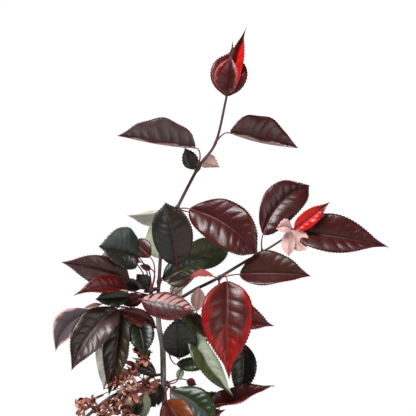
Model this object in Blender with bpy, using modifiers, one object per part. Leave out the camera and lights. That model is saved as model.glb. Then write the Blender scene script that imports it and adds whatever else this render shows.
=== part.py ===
"""Potted royalty crabapple: a young purple-leaved crabapple standing in a plain nursery pot.

The origin is the middle of the pot's flat underside, +Z is up and the photographed side faces -Y.
The plant is a trunk, two boughs and masses of leaves. Each mass is one shoot with its own leaves
fused on. The leaves that the photograph shows are set out shoot by shoot as readings from it, at
one millimetre a pixel. The sides that it hides grow by one seeded rule.
"""

import math
import random

import bmesh
import bpy
import numpy as np
from mathutils import Matrix, Vector

MM = 0.001
GAP = 0.3 * MM

# Pot
POT_HEIGHT = 216 * MM
POT_RIM_RADIUS = 111 * MM
POT_MOUTH_RADIUS = 105 * MM
POT_BASE_RADIUS = 84 * MM
POT_WALL = 2.2 * MM
RIM_DEPTH = 12 * MM
RIM_ROLL = 3 * MM
POT_SIDES = 36
DRAIN_COUNT = 6
DRAIN_RADIUS = 6 * MM
DRAIN_CIRCLE = 66 * MM

# Potting mix
MIX_HEIGHT = 196 * MM
MIX_MOUND = 4 * MM
MIX_COLLAR = 12 * MM

# Where the photograph's readings start: its left edge and its top edge
PHOTO_LEFT = -165 * MM
PHOTO_TOP = 978 * MM

# Limbs: stations of (across, down, near) in millimetres on the photograph, with the radius there.
# near is towards the viewer. A bough's foot is set against the trunk this far down the photograph.
TRUNK = [
    (165, 760, 0, 7.4), (165, 748, 0, 5.6), (165, 715, 0, 4.9), (167, 640, 0, 4.4), (168, 560, 0, 3.9),
    (166, 480, 0, 3.4), (165, 416, 0, 3.0), (163.5, 385, 0, 2.9), (162.5, 347, 0, 2.8), (159, 327, 0, 2.7),
    (158, 308, 0, 2.5), (158, 296, 0, 2.3),
]
RIGHT_BOUGH = [
    (168, 311, 3, 1.8), (180, 299, 5, 1.7), (194, 290, 7, 1.6), (214, 280, 9, 1.6),
    (236, 267, 12, 1.5), (250, 258.5, 14, 1.4),
]
LOW_BOUGH = [
    (146, 385, 6, 1.9), (114, 395, 14, 1.8), (87, 416, 20, 1.6), (70, 434, 23, 1.4),
]
RIGHT_BOUGH_DOWN = 320
LOW_BOUGH_DOWN = 379
LIMB_SIDES = 8

# Leaves
OUTLINE_BASE = 0.58
TAIL = 0.13
BLADE_STATIONS = (0.08, 0.28, 0.54, 0.78, 0.94)
SMALL_STATIONS = (0.12, 0.45, 0.85)
SMALL_BLADE = 40 * MM
BLADE_THICKNESS = 0.02
LEAST_THICKNESS = 0.7 * MM
STALK_RADIUS = 0.75 * MM
STALK_SIDES = 3
STALK_RINGS = 3
STALK_SUNK = 0.16
STEM_SIDES = 6
GOLDEN_ANGLE = math.radians(137.5)
VIEW = Vector((0, -1, 0))

# Each shoot: its look, the limb it grows on and how far down the photograph, or the limb's tip, the
# rest of its stem as (across, down, near, radius), then its leaves and blossoms. A leaf's values are
# the stem station it grows from, its blade's foot (across, down, near), its tip (across, down, near),
# its width, the tilt of its upper side from the viewer (0) towards the sky (90) in degrees, the fold
# of its halves in degrees, arch and sweep as parts of its length, and how pointed it is, from 0.45
# for a round tip to 1 for a long one. A blossom's are its station and its heart.
SHOOTS = {
    "leader_leaves": {
        "look": "leaf",
        "on": ("trunk", "tip"),
        "stem": [
            (159, 282, 0, 1.8), (161, 250, -1, 1.7), (164, 233, -2, 1.6),
            (176.5, 209, -4, 1.6), (198, 168, -6, 1.5), (215.5, 143, -6, 1.3), (225, 104, -3, 1.2),
            (227, 93, -1, 1.1),
        ],
        "leaves": [
            (8, 227, 96, -1, 231, 51, -14, 38, 0, 12, 0.02, 0, 0.6),
            (8, 227, 93, 2, 231, 58, 15, 27, -14, 24, 0.16, 0, 0.5),
            (8, 229, 88, -5, 232.6, 40, -18, 17, 10, 22, 0, 0.02, 1),
            (8, 232, 88, -2, 246.7, 28, 3, 19, 16, 34, -0.04, -0.05, 0.9),
            (6, 230, 133, 0, 299, 147, -16, 54, 48, 46, -0.06, 0, 0.7),
            (5, 195, 148, 0, 118, 135, 20, 53, 48, 44, -0.04, 0, 0.7),
            (5, 194, 169, -1, 185, 148, 5, 17, 0, 18, 0, 0, 0.7),
            (5, 201, 162, -10, 220, 167, -22, 20, 150, 30, 0.05, 0, 0.8),
            (4, 190, 209, 4, 257, 254, 30, 48, 8, 12, 0.04, 0.08, 0.5),
            (4, 172, 211, -10, 127, 216, -30, 34, 205, 56, 0, 0, 0.7),
            (2, 161, 258, -12, 150, 225, -24, 24, 175, 20, 0, 0, 0.6),
            (1, 163, 280, -5, 214, 260, -18, 30, 20, 14, 0.04, 0.03, 0.7),
            (1, 184, 262, -22, 232, 247, -44, 34, 14, 16, 0.05, 0, 0.7),
            (4, 192, 213, -10, 238, 236, -56, 32, 150, 20, 0.06, 0, 0.6),
            (3, 168, 246, -14, 173, 213, -58, 30, 140, 20, 0.06, 0, 0.6),
        ],
    },
    "upper_left_leaves": {
        "look": "leaf",
        "on": ("trunk", 305),
        "stem": [(152.4, 296, 3, 1.4), (151, 290, 5, 1.3)],
        "leaves": [
            (2, 138, 257, 2, 100, 246, 30, 48, 24, 24, 0.1, 0, 0.5),
            (2, 150, 257, -3, 133, 241, -16, 21, 10, 20, 0.05, 0, 0.6),
            (2, 151, 269, 8, 140, 265, 12, 7, 0, 20, 0, 0, 0.7),
            (2, 141, 262, 7, 129, 258, 9, 5, 10, 10, 0, 0, 0.7),
            (2, 129, 279, 14, 62.6, 261.5, 38, 33, 12, 20, 0.04, 0, 0.75),
            (2, 148, 288, 11, 137, 274, 16, 17, 10, 24, 0.1, 0, 0.6),
            (1, 128, 290, 18, 75, 294, 48, 28, 40, 34, 0.1, 0, 0.8),
            (1, 131, 296, 12, 96, 299, 20, 19, 8, 14, 0.05, 0, 0.6),
            (1, 143, 298, 10, 119, 302, 14, 15, 0, 12, 0, 0, 0.7),
            (2, 126, 286, -6, 102, 283, -22, 13, 10, 12, 0.05, 0, 0.6),
            (1, 101, 304, 8, 83, 308.5, 9, 6, 20, 20, 0, 0, 0.8),
            (2, 141, 288, 3, 122, 281, 5, 13, 0, 14, 0, 0, 0.6),
            (1, 120, 300, 6, 111, 307, 8, 10, 0, 14, 0, 0, 0.9),
            (2, 133, 262, -8, 96, 262, -52, 26, 150, 20, 0.06, 0, 0.6),
        ],
    },
    "centre_leaves": {
        "look": "leaf",
        "on": ("trunk", 306),
        "stem": [(163, 301, 8, 1.4), (170, 298, 11, 1.3)],
        "leaves": [
            (1, 142, 299, 34, 196, 309.5, 46, 32, 25, -20, 0.03, 0, 0.65),
            (2, 177, 265, 19, 166, 203, 40, 41, 0, 10, 0.06, 0.02, 0.45),
            (2, 190, 277, 24, 168, 283, 28, 16, 5, 14, 0.06, 0, 0.6),
            (2, 197, 310, 12, 199, 287, 14, 15, 180, 12, 0, 0, 0.6),
            (2, 180, 298, 9, 172, 283, 8, 13, 180, 12, 0, 0, 0.6),
        ],
    },
    "bough_spur_leaves": {
        "look": "red leaf",
        "on": ("right_bough", 278.5),
        "stem": [(220, 277, 17, 1.3), (224, 275.5, 20, 1.2)],
        "leaves": [
            (0, 240, 274, 18, 310, 275, 36, 46, 32, 30, 0.03, 0, 0.75),
            (2, 227, 281, 32, 229, 378, 50, 53, 2, 13, 0.05, -0.01, 0.9),
            (1, 224, 304, 17, 275, 326, 4, 27, 5, 14, 0, -0.05, 0.9),
            (0, 213, 276, 17, 189, 280, 14, 12, 50, 20, 0.22, 0, 0.6),
            (0, 222, 292, 8, 229, 350, -40, 34, 160, 16, 0.06, 0, 0.7),
        ],
    },
    "bough_tip_leaves": {
        "look": "red leaf",
        "on": ("right_bough", "tip"),
        "stem": [(262, 252, 16, 1.2), (281, 240, 18, 1.1), (291, 231, 19, 1.0)],
        "leaves": [
            (1, 263, 234, 14, 310, 185, -8, 39, 0, 12, 0.04, 0.12, 0.5),
            (3, 293, 231, 18, 387, 246, 34, 44, 22, 22, 0.03, 0, 0.8),
            (3, 294, 230, 26, 329, 202, 32, 18, 4, 20, 0, 0, 0.8),
            (3, 292, 230, 28, 276, 229, 33, 15, 10, 20, 0.1, 0.2, 0.6),
            (3, 290, 231, 30, 305, 250, 36, 21, 170, 20, 0.1, 0, 0.6),
            (3, 288, 231, 31, 288, 256, 36, 15, 180, 20, 0.1, 0, 0.7),
            (3, 295, 227, 24, 305, 217, 27, 3, 0, 10, 0, 0.12, 1),
            (3, 300, 234, 10, 352, 243, -34, 25, 145, 18, 0.06, 0, 0.75),
        ],
    },
    "lower_left_leaves": {
        "look": "leaf",
        "on": ("trunk", 329),
        "stem": [(150, 325, 5, 1.4), (143, 321, 9, 1.3)],
        "leaves": [
            (2, 93, 311, 4, 55, 352, -14, 29, 15, 24, 0.08, 0.14, 0.75),
            (2, 117, 308, 21, 73, 368.5, 48, 38, 10, 18, 0.05, 0.07, 0.7),
            (1, 155, 327, 10, 117, 309, 19, 19, 0, 20, 0.04, 0.05, 0.7),
            (2, 121, 310, 12, 109, 395, 28, 29, -10, 24, 0.06, 0.03, 0.75),
            (2, 99, 344, 4, 103, 390, -8, 19, 180, 20, 0.03, -0.1, 0.7),
            (2, 124, 340, 5, 117, 378, -6, 19, 178, 20, 0.03, 0.05, 0.7),
            (1, 138, 322, 12, 145, 356, 30, 28, 0, 18, 0.05, 0.03, 0.75),
            (1, 150, 327, 3, 147, 316, 5, 10, 0, 14, 0, 0, 0.5),
            (1, 136, 328, 17, 125, 339, 20, 4, 0, 10, 0, 0, 0.7),
            (1, 138, 325, -8, 108, 337, -58, 32, 150, 18, 0.06, 0, 0.7),
            (2, 112, 330, -14, 83, 348, -66, 33, 140, 18, 0.06, 0, 0.75),
            (2, 104, 318, -10, 78, 324, -60, 24, 120, 18, 0.06, 0, 0.7),
        ],
    },
    "lower_right_leaves": {
        "look": "green leaf",
        "on": ("trunk", 347),
        "stem": [(168, 342, 6, 1.4), (174, 338, 9, 1.3)],
        "leaves": [
            (1, 180, 357, 17, 178, 317, 40, 35, 0, 11, 0.06, 0.02, 0.5),
            (2, 181, 315, 6, 207, 338, 5, 22, 10, 12, 0.05, 0.05, 0.7),
            (2, 208, 345, 0, 194, 363, -10, 16, 180, 14, 0, 0, 0.6),
            (1, 177, 364, 9, 211, 362, 24, 15, 10, 12, 0.04, -0.03, 0.6),
            (2, 190, 330, 22, 234, 395, 40, 25, 15, 26, 0.05, -0.07, 0.75),
            (2, 241, 342, 5, 237, 398, 9, 27, 0, 14, 0.05, 0.08, 0.7),
            (2, 184, 350, -10, 181, 324, -62, 29, 150, 18, 0.06, 0, 0.7),
            (2, 214, 338, -14, 227, 370, -64, 30, 140, 18, 0.06, 0, 0.75),
            (2, 236, 352, -12, 239, 384, -52, 20, 160, 16, 0.06, 0, 0.7),
        ],
    },
    "low_right_leaves": {
        "look": "green leaf",
        "on": ("trunk", 382),
        "stem": [(169, 386, 6, 1.4), (173, 389, 10, 1.3)],
        "leaves": [
            (2, 209, 405, 14, 272, 383, 36, 31, 52, 30, -0.05, -0.03, 0.75),
            (2, 213, 405, 9, 225, 389, 11, 11, 180, 12, 0, 0, 0.6),
            (2, 217, 405, 4, 205, 392, 5, 18, 0, 12, 0, 0, 0.7),
            (2, 171, 391, 15, 216, 425, 34, 33, 15, 10, 0.04, 0.08, 0.6),
            (1, 167, 400, 22, 194, 440, 48, 36, 0, 24, 0.04, 0, 0.6),
            (0, 178, 379, 7, 182, 368, 9, 8, 0, 12, 0, 0, 0.5),
            (0, 187, 380, 7, 197, 385, 8, 9, 0, 12, 0, 0, 0.9),
            (2, 192, 424, 5, 226, 409, 8, 24, 10, 16, 0.04, 0, 1),
            (2, 183, 402, -10, 198, 414, -66, 32, 120, 18, 0.06, 0, 0.7),
        ],
    },
    "old_blossom": {
        "look": "blossom",
        "on": ("trunk", 374),
        "stem": [(152, 376, 6, 1.4), (144, 380, 14, 1.3), (132, 384, 19, 1.1)],
        "leaves": [
            (1, 156, 373, 17, 134, 364, 22, 17, 20, -16, 0.05, 0.1, 0.5),
            (1, 156, 381, 12, 158, 406, 9, 13, 0, 14, 0.05, 0.08, 0.7),
            (1, 147, 389, 15, 156, 407, 5, 13, 0, 14, 0, -0.1, 0.6),
            (2, 141, 398, 18, 127, 419, 24, 17, 0, 12, 0, 0, 0.7),
            (2, 145, 392, 17, 142, 421, 16, 15, 178, 12, 0, 0, 0.7),
        ],
        "blossoms": [
            (2, 143, 358, 16), (2, 132, 373, 26), (2, 144, 384, 28), (3, 120, 381, 26),
            (3, 130, 391, 30), (3, 117, 399, 29), (3, 127, 404, 32), (3, 86, 401, 28), (3, 105, 413, 32),
        ],
    },
    "low_bough_leaves": {
        "look": "leaf",
        "on": ("low_bough", "tip"),
        "stem": [(62, 441, 24, 1.2), (52, 446, 26, 1.0)],
        "leaves": [
            (2, 46, 450, 30, 14, 474, 44, 26, 30, 24, 0.08, 0, 0.75),
            (1, 56, 440, 10, 24, 446, -20, 30, 50, 24, 0.06, 0.05, 0.7),
            (1, 66, 452, 34, 72, 500, 56, 30, 20, 22, 0.08, 0.05, 0.75),
            (2, 52, 455, 18, 42, 496, 0, 26, 30, 22, 0.08, 0.05, 0.7),
        ],
    },
}

# Shoots that the photograph hides: they leave the trunk this far down it on this bearing, which is 0
# towards the viewer and 90 to the right. The rest is the number of leaves, the longest blade and
# how much of the way round the trunk the shoot's leaves fill, in degrees.
HIDDEN_SHOOTS = {
    "back_upper_leaves": (318, 182, 6, 66, 110),
    "low_front_leaves": (444, 12, 8, 76, 140),
    "low_left_leaves": (466, -85, 8, 74, 120),
    "low_east_leaves": (456, 88, 8, 76, 120),
    "low_back_leaves": (428, 180, 9, 76, 150),
    "foot_left_leaves": (508, -35, 6, 62, 140),
    "foot_right_leaves": (526, 130, 6, 60, 160),
}
SPUR_LENGTH = 30 * MM
SPUR_RISE = 4 * MM
SPUR_RADII = (1.5, 1.2)
HIDDEN_TRIES = 80
HIDDEN_SPACE = 150 * MM
HIDDEN_LOWEST = 372 * MM
PHOTO_BOTTOM = 418
KEEP_CLEAR = 4.5 * MM
SEED = 9

# Dried blossom
PETALS = 5
PETAL_LENGTH = 11 * MM
PETAL_WIDTH = 7 * MM
PETAL_STATIONS = (0.5,)
CALYX_RADIUS = 1.7 * MM
CALYX_SIDES = 4

COLOURS = {
    "pot": ((0.020, 0.020, 0.021), 0.48),
    "mix": ((0.045, 0.028, 0.018), 0.95),
    "bark": ((0.150, 0.125, 0.115), 0.70),
    "bough": ((0.045, 0.018, 0.022), 0.50),
    "leaf": ((0.070, 0.018, 0.016), 0.38),
    "red leaf": ((0.230, 0.012, 0.008), 0.36),
    "green leaf": ((0.030, 0.036, 0.018), 0.40),
    "blossom": ((0.270, 0.110, 0.075), 0.85),
}


def clear_scene():
    for obj in list(bpy.data.objects):
        bpy.data.objects.remove(obj, do_unlink=True)


def make_collection(name, helper=False):
    collection = bpy.data.collections.new(name)
    bpy.context.scene.collection.children.link(collection)
    collection.hide_render = helper
    return collection


def make_material(name, look):
    colour, roughness = COLOURS[look]
    material = bpy.data.materials.new(name)
    material.use_nodes = True
    shader = material.node_tree.nodes["Principled BSDF"]
    shader.inputs["Base Color"].default_value = (*colour, 1)
    shader.inputs["Roughness"].default_value = roughness
    shader.inputs["Metallic"].default_value = 0.0
    return material


def make_object(name, points, faces, collection, look=None):
    mesh = bpy.data.meshes.new(name)
    mesh.from_pydata([tuple(point) for point in points], [], faces)
    obj = bpy.data.objects.new(name, mesh)
    collection.objects.link(obj)
    if look:
        mesh.materials.append(make_material(name, look))
    return obj


def seen(across, down, near=0.0):
    """A reading from the photograph, in millimetres, as a point."""
    return Vector((PHOTO_LEFT + across * MM, -near * MM, PHOTO_TOP - down * MM))


def stations_of(rows):
    """Centres and radii of a limb or stem given as (across, down, near, radius)."""
    return [seen(*row[:3]) for row in rows], [row[3] * MM for row in rows]


def place_on(limb, down):
    """A limb's centre, direction and radius at a reading down the photograph."""
    centres, radii = limb
    height = seen(0, down).z
    for i in range(len(centres) - 1):
        here, ahead = centres[i], centres[i + 1]
        if min(here.z, ahead.z) <= height <= max(here.z, ahead.z):
            part = (height - here.z) / (ahead.z - here.z)
            return here.lerp(ahead, part), ahead - here, radii[i] + (radii[i + 1] - radii[i]) * part
    raise ValueError(f"the limb does not reach {down}")


def seated(limb, place, stem, thickness):
    """A stem's centres and radii, with a foot added that stands clear of its limb by the gap.

    place is how far down the photograph the stem leaves the limb, or the limb's tip.
    """
    at_tip = place == "tip"
    if at_tip:
        centres = limb[0]
        at, along, girth = centres[-1], centres[-1] - centres[-2], 0.0
    else:
        at, along, girth = place_on(limb, place)
    heading = (stem[0] - at).normalized()
    lean = abs(heading.dot(along.normalized()))
    square = math.sqrt(1 - lean * lean)
    if at_tip:
        reach = (GAP + thickness[0] * square) / lean
    else:
        reach = (girth + GAP + thickness[0] * lean) / square
    return [at + heading * reach] + stem, [thickness[0]] + thickness


def tube(centres, radii, sides, level_ends=False):
    """Points and faces of a closed limb. Each ring is carried on from the one before it."""
    points = []
    side = None
    last = len(centres) - 1
    for i, centre in enumerate(centres):
        along = (centres[min(i + 1, last)] - centres[max(i - 1, 0)]).normalized()
        if level_ends and i == 0:
            along = Vector((0, 0, 1))
        if side is None:
            side = along.orthogonal()
        side = (side - along * side.dot(along)).normalized()
        other = along.cross(side)
        for k in range(sides):
            angle = 2 * math.pi * k / sides
            points.append(centre + (side * math.cos(angle) + other * math.sin(angle)) * radii[i])
    faces = []
    for i in range(last):
        for k in range(sides):
            nxt = (k + 1) % sides
            faces.append((i * sides + k, i * sides + nxt, (i + 1) * sides + nxt, (i + 1) * sides + k))
    faces.append(tuple(reversed(range(sides))))
    faces.append(tuple(range(last * sides, (last + 1) * sides)))
    return points, faces


def outline(body, point):
    """Half width of an ovate blade, as a part of its widest, at the part body of its length to the tail."""
    widest = OUTLINE_BASE / (OUTLINE_BASE + point)
    return (body / widest) ** OUTLINE_BASE * ((1 - body) / (1 - widest)) ** point


def tail(leaf):
    """The part of a blade's length that is its drawn-out point."""
    return TAIL * leaf["point"]


def leaf_frame(axis, tilt):
    """Directions across a blade and out of its upper side, for its tilt from the viewer to the sky."""
    face = (VIEW - axis * VIEW.dot(axis)).normalized()
    side = axis.cross(face)
    if side.dot(Vector((0.35, 0, 1))) < 0:
        side = -side
    normal = face * math.cos(tilt) + side * math.sin(tilt)
    across = side * math.cos(tilt) - face * math.sin(tilt)
    return across, normal


def seen_leaf(stem, row):
    """One leaf of a shoot, from its row of readings."""
    station = row[0]
    foot = seen(*row[1:4])
    tip = seen(*row[4:7])
    width, tilt, fold, arch, sweep, point = row[7:]
    across, normal = leaf_frame((tip - foot).normalized(), math.radians(tilt))
    return {
        "root": stem[station], "foot": foot, "tip": tip, "across": across, "normal": normal,
        "width": width * MM, "fold": math.radians(fold), "arch": arch, "sweep": sweep, "point": point,
    }


def rib_point(leaf, u):
    """The midrib's point at the part u of the blade's length."""
    length = (leaf["tip"] - leaf["foot"]).length
    bow = 4 * u * (1 - u) * length
    straight = leaf["foot"].lerp(leaf["tip"], u)
    return straight + leaf["normal"] * (leaf["arch"] * bow) + leaf["across"] * (leaf["sweep"] * bow)


def section(leaf, body):
    """The midrib and the two margins at the part body of the blade's length to its tail."""
    rib = rib_point(leaf, body * (1 - tail(leaf)))
    half = leaf["width"] / 2 * outline(body, leaf["point"])
    lift = leaf["normal"] * (math.sin(leaf["fold"]) * half)
    spread = leaf["across"] * (math.cos(leaf["fold"]) * half)
    return rib, rib + lift + spread, rib + lift - spread


def blade(leaf, stations=None):
    """Points and faces of a closed blade: its two ends, and four points at each station."""
    length = (leaf["tip"] - leaf["foot"]).length
    stations = stations or (BLADE_STATIONS if length > SMALL_BLADE else SMALL_STATIONS)
    thickness = max(BLADE_THICKNESS * length, LEAST_THICKNESS)
    points = [leaf["foot"]]
    for body in stations:
        rib, one, other = section(leaf, body)
        depth = leaf["normal"] * (thickness / 2 * (0.45 + 0.55 * outline(body, leaf["point"])))
        points += [one, rib + depth, other, rib - depth]
    points.append(leaf["tip"])
    end = len(points) - 1
    faces = []
    for k in range(4):
        nxt = (k + 1) % 4
        faces.append((0, 1 + nxt, 1 + k))
        for i in range(len(stations) - 1):
            here = 1 + 4 * i
            ahead = here + 4
            faces.append((here + k, here + nxt, ahead + nxt, ahead + k))
        faces.append((end - 4 + k, end - 4 + nxt, end))
    return points, faces


def stalk_path(leaf):
    """Centres of a leaf's stalk, which leaves the stem and runs on into the midrib."""
    into = rib_point(leaf, STALK_SUNK)
    heading = (leaf["foot"] - into).normalized()
    reach = (leaf["foot"] - leaf["root"]).length
    bend = leaf["foot"] + heading * (0.4 * reach)
    path = []
    for i in range(STALK_RINGS):
        t = i / (STALK_RINGS - 1)
        path.append(leaf["root"] * (1 - t) ** 2 + bend * (2 * t * (1 - t)) + leaf["foot"] * t ** 2)
    return path + [into]


def outward(mesh):
    """Turns every face of a closed mesh out."""
    work = bmesh.new()
    work.from_mesh(mesh)
    bmesh.ops.recalc_face_normals(work, faces=work.faces)
    work.to_mesh(mesh)
    work.free()


def keep_one_body(mesh):
    """Keeps the largest body of a mesh, so that loose scraps and sealed hollows go."""
    work = bmesh.new()
    work.from_mesh(mesh)
    unseen = set(work.verts)
    bodies = []
    while unseen:
        body = {unseen.pop()}
        edge_of_body = list(body)
        while edge_of_body:
            for link in edge_of_body.pop().link_edges:
                for vert in link.verts:
                    if vert in unseen:
                        unseen.discard(vert)
                        body.add(vert)
                        edge_of_body.append(vert)
        bodies.append(body)
    bodies.sort(key=len)
    for body in bodies[:-1]:
        bmesh.ops.delete(work, geom=list(body), context="VERTS")
    work.to_mesh(mesh)
    work.free()


def fuse(name, pieces, collection, look):
    """One solid from a shoot's stem, stalks, blades and blossoms."""
    helpers = make_collection(name + " pieces", helper=True)
    stem = make_object(name, *pieces[0], collection, look)
    outward(stem.data)
    for i, piece in enumerate(pieces[1:]):
        helper = make_object(f"{name} piece {i}", *piece, helpers)
        helper.display_type = "WIRE"
        outward(helper.data)
    union = stem.modifiers.new("union", "BOOLEAN")
    union.operation = "UNION"
    union.operand_type = "COLLECTION"
    union.solver = "MANIFOLD"
    union.collection = helpers
    bpy.context.view_layer.update()
    graph = bpy.context.evaluated_depsgraph_get()
    fused = bpy.data.meshes.new_from_object(stem.evaluated_get(graph))
    stem.modifiers.clear()
    stem.data = fused
    for helper in list(helpers.objects):
        bpy.data.objects.remove(helper, do_unlink=True)
    bpy.data.collections.remove(helpers)
    keep_one_body(fused)
    return stem


def blossom_pieces(rng, root, heart):
    """A dried blossom: a thin stalk, a calyx and shrivelled petals round it."""
    axis = (heart - root).normalized()
    side = axis.orthogonal().normalized()
    pieces = [tube([root, heart + axis * CALYX_RADIUS], [STALK_RADIUS, STALK_RADIUS * 0.8], STALK_SIDES)]
    bead = [heart - axis * CALYX_RADIUS * 1.4, heart + axis * CALYX_RADIUS * 1.4]
    pieces.append(tube(bead, [CALYX_RADIUS * 0.8, CALYX_RADIUS], CALYX_SIDES))
    for k in range(PETALS):
        spin = Matrix.Rotation(2 * math.pi * k / PETALS + rng.uniform(-0.3, 0.3), 3, axis)
        out = (spin @ side + axis * rng.uniform(-0.7, 1.2)).normalized()
        length = PETAL_LENGTH * rng.uniform(0.7, 1.2)
        across = axis.cross(out).normalized()
        petal = {
            "foot": heart - out * CALYX_RADIUS * 0.4, "tip": heart + out * length, "across": across,
            "normal": out.cross(across), "width": PETAL_WIDTH * rng.uniform(0.7, 1.2),
            "fold": rng.uniform(0.2, 0.7), "arch": rng.uniform(-0.15, 0.25), "sweep": rng.uniform(-0.1, 0.1),
            "point": 0.6,
        }
        pieces.append(blade(petal, PETAL_STATIONS))
    return pieces


def feelers(leaf):
    """Points spread over a leaf and its stalk, for telling whether it comes near another."""
    found = stalk_path(leaf)[1:]
    for i in range(9):
        rib, one, other = section(leaf, i / 8)
        found += [rib, one, other, rib.lerp(one, 0.5), rib.lerp(other, 0.5)]
    return found


def shadow(leaf):
    """The blade's outline as the photograph shows it: (across, up) points."""
    sides = [section(leaf, i / 8)[1:] for i in range(9)]
    loop = [one for one, _ in sides] + [leaf["tip"]] + [other for _, other in reversed(sides)]
    return [(point.x, point.z) for point in loop]


def inside(point, loop):
    """Whether a point, as the photograph shows it, lies in a loop of (across, up) points."""
    found = False
    for (x1, z1), (x2, z2) in zip(loop, loop[1:] + loop[:1]):
        if (z1 > point.z) != (z2 > point.z) and point.x < x1 + (point.z - z1) / (z2 - z1) * (x2 - x1):
            found = not found
    return found


def out_of_sight(points, shadows):
    """Whether every point is below the photograph's edge or behind a leaf that it shows."""
    edge = seen(0, PHOTO_BOTTOM).z
    return all(point.z < edge or any(inside(point, loop) for loop in shadows) for point in points)


def clear_of(points, taken):
    """Whether no point comes near the points already taken."""
    gaps = np.linalg.norm(np.array(points)[:, None] - np.array(taken)[None], axis=2)
    return gaps.min() > KEEP_CLEAR


def hidden_leaf(rng, stem, k, bearing, longest, spread):
    """A leaf of a hidden spur, at the golden angle from the last, drooping and facing the sky."""
    turn = (k * GOLDEN_ANGLE) % (2 * math.pi) / (2 * math.pi) - 0.5
    heading = bearing + turn * spread
    flat = Vector((math.sin(heading), -math.cos(heading), 0))
    rise = rng.uniform(-0.5, 0.75)
    out = (flat + Vector((0, 0, rise))).normalized()
    length = longest * rng.uniform(0.78, 1.05)
    root = stem[1 + k % (len(stem) - 1)]
    foot = root + out * (rng.uniform(16, 30) * MM)
    fall = (flat + Vector((0, 0, rise - rng.uniform(0.35, 1.0)))).normalized()
    leaning = Matrix.Rotation(rng.uniform(-0.5, 0.5), 3, fall)
    across = leaning @ fall.cross(Vector((0, 0, 1))).normalized()
    return {
        "root": root, "foot": foot, "tip": foot + fall * length, "across": across,
        "normal": across.cross(fall), "width": length * rng.uniform(0.48, 0.6),
        "fold": rng.uniform(0.15, 0.4), "arch": rng.uniform(0.03, 0.09),
        "sweep": rng.uniform(-0.04, 0.04), "point": rng.uniform(0.6, 0.9),
    }


def grow_shoot(name, shoot, limbs, rng, collection, taken, shadows):
    """A shoot whose leaves are read from the photograph."""
    limb, place = shoot["on"]
    centres, radii = seated(limbs[limb], place, *stations_of(shoot["stem"]))
    leaves = [seen_leaf(centres, row) for row in shoot["leaves"]]
    pieces = [tube(centres, radii, STEM_SIDES)]
    for leaf in leaves:
        path = stalk_path(leaf)
        pieces.append(tube(path, [STALK_RADIUS] * len(path), STALK_SIDES))
        pieces.append(blade(leaf))
        taken += feelers(leaf)
        shadows.append(shadow(leaf))
    for station, *place in shoot.get("blossoms", []):
        heart = seen(*place)
        pieces += blossom_pieces(rng, centres[station], heart)
        taken += [heart, heart.lerp(centres[station], 0.5)]
    taken += centres
    return fuse(name, pieces, collection, shoot["look"])


def grow_hidden(name, row, trunk, rng, collection, taken, shadows):
    """A shoot on a side that the photograph hides.

    A leaf that would touch another, leave the crown's space or show in the photograph is left out.
    """
    down, bearing, count, longest, spread = row
    bearing = math.radians(bearing)
    centre = place_on(trunk, down)[0]
    out = Vector((math.sin(bearing), -math.cos(bearing), 0))
    spur = [centre + out * SPUR_LENGTH * 0.5, centre + out * SPUR_LENGTH + Vector((0, 0, SPUR_RISE))]
    centres, radii = seated(trunk, down, spur, [radius * MM for radius in SPUR_RADII])
    pieces = [tube(centres, radii, STEM_SIDES)]
    grown = 0
    for k in range(HIDDEN_TRIES):
        leaf = hidden_leaf(rng, centres, k, bearing, longest * MM, math.radians(spread))
        points = feelers(leaf)
        reach = max(math.hypot(point.x, point.y) for point in points)
        lowest = min(point.z for point in points)
        if reach > HIDDEN_SPACE or lowest < HIDDEN_LOWEST:
            continue
        if not (clear_of(points, taken) and out_of_sight(points, shadows)):
            continue
        path = stalk_path(leaf)
        pieces.append(tube(path, [STALK_RADIUS] * len(path), STALK_SIDES))
        pieces.append(blade(leaf))
        taken += points
        grown += 1
        if grown == count:
            break
    taken += centres
    return fuse(name, pieces, collection, "green leaf")


def grow_limb(name, centres, radii, collection, look, level_ends=False):
    limb = make_object(name, *tube(centres, radii, LIMB_SIDES, level_ends), collection, look)
    outward(limb.data)
    return centres, radii


def turned(name, profile, collection, look):
    """A round piece from a profile of (radius, height), run from its top on the axis round to its foot."""
    points = [(radius, 0, height) for radius, height in profile]
    edges = [(i, i + 1) for i in range(len(points) - 1)]
    mesh = bpy.data.meshes.new(name)
    mesh.from_pydata(points, edges, [])
    obj = bpy.data.objects.new(name, mesh)
    collection.objects.link(obj)
    mesh.materials.append(make_material(name, look))
    screw = obj.modifiers.new("turn", "SCREW")
    screw.steps = POT_SIDES
    screw.render_steps = POT_SIDES
    screw.use_merge_vertices = True
    screw.merge_threshold = 0.0001
    screw.use_smooth_shade = False
    return obj


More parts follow.
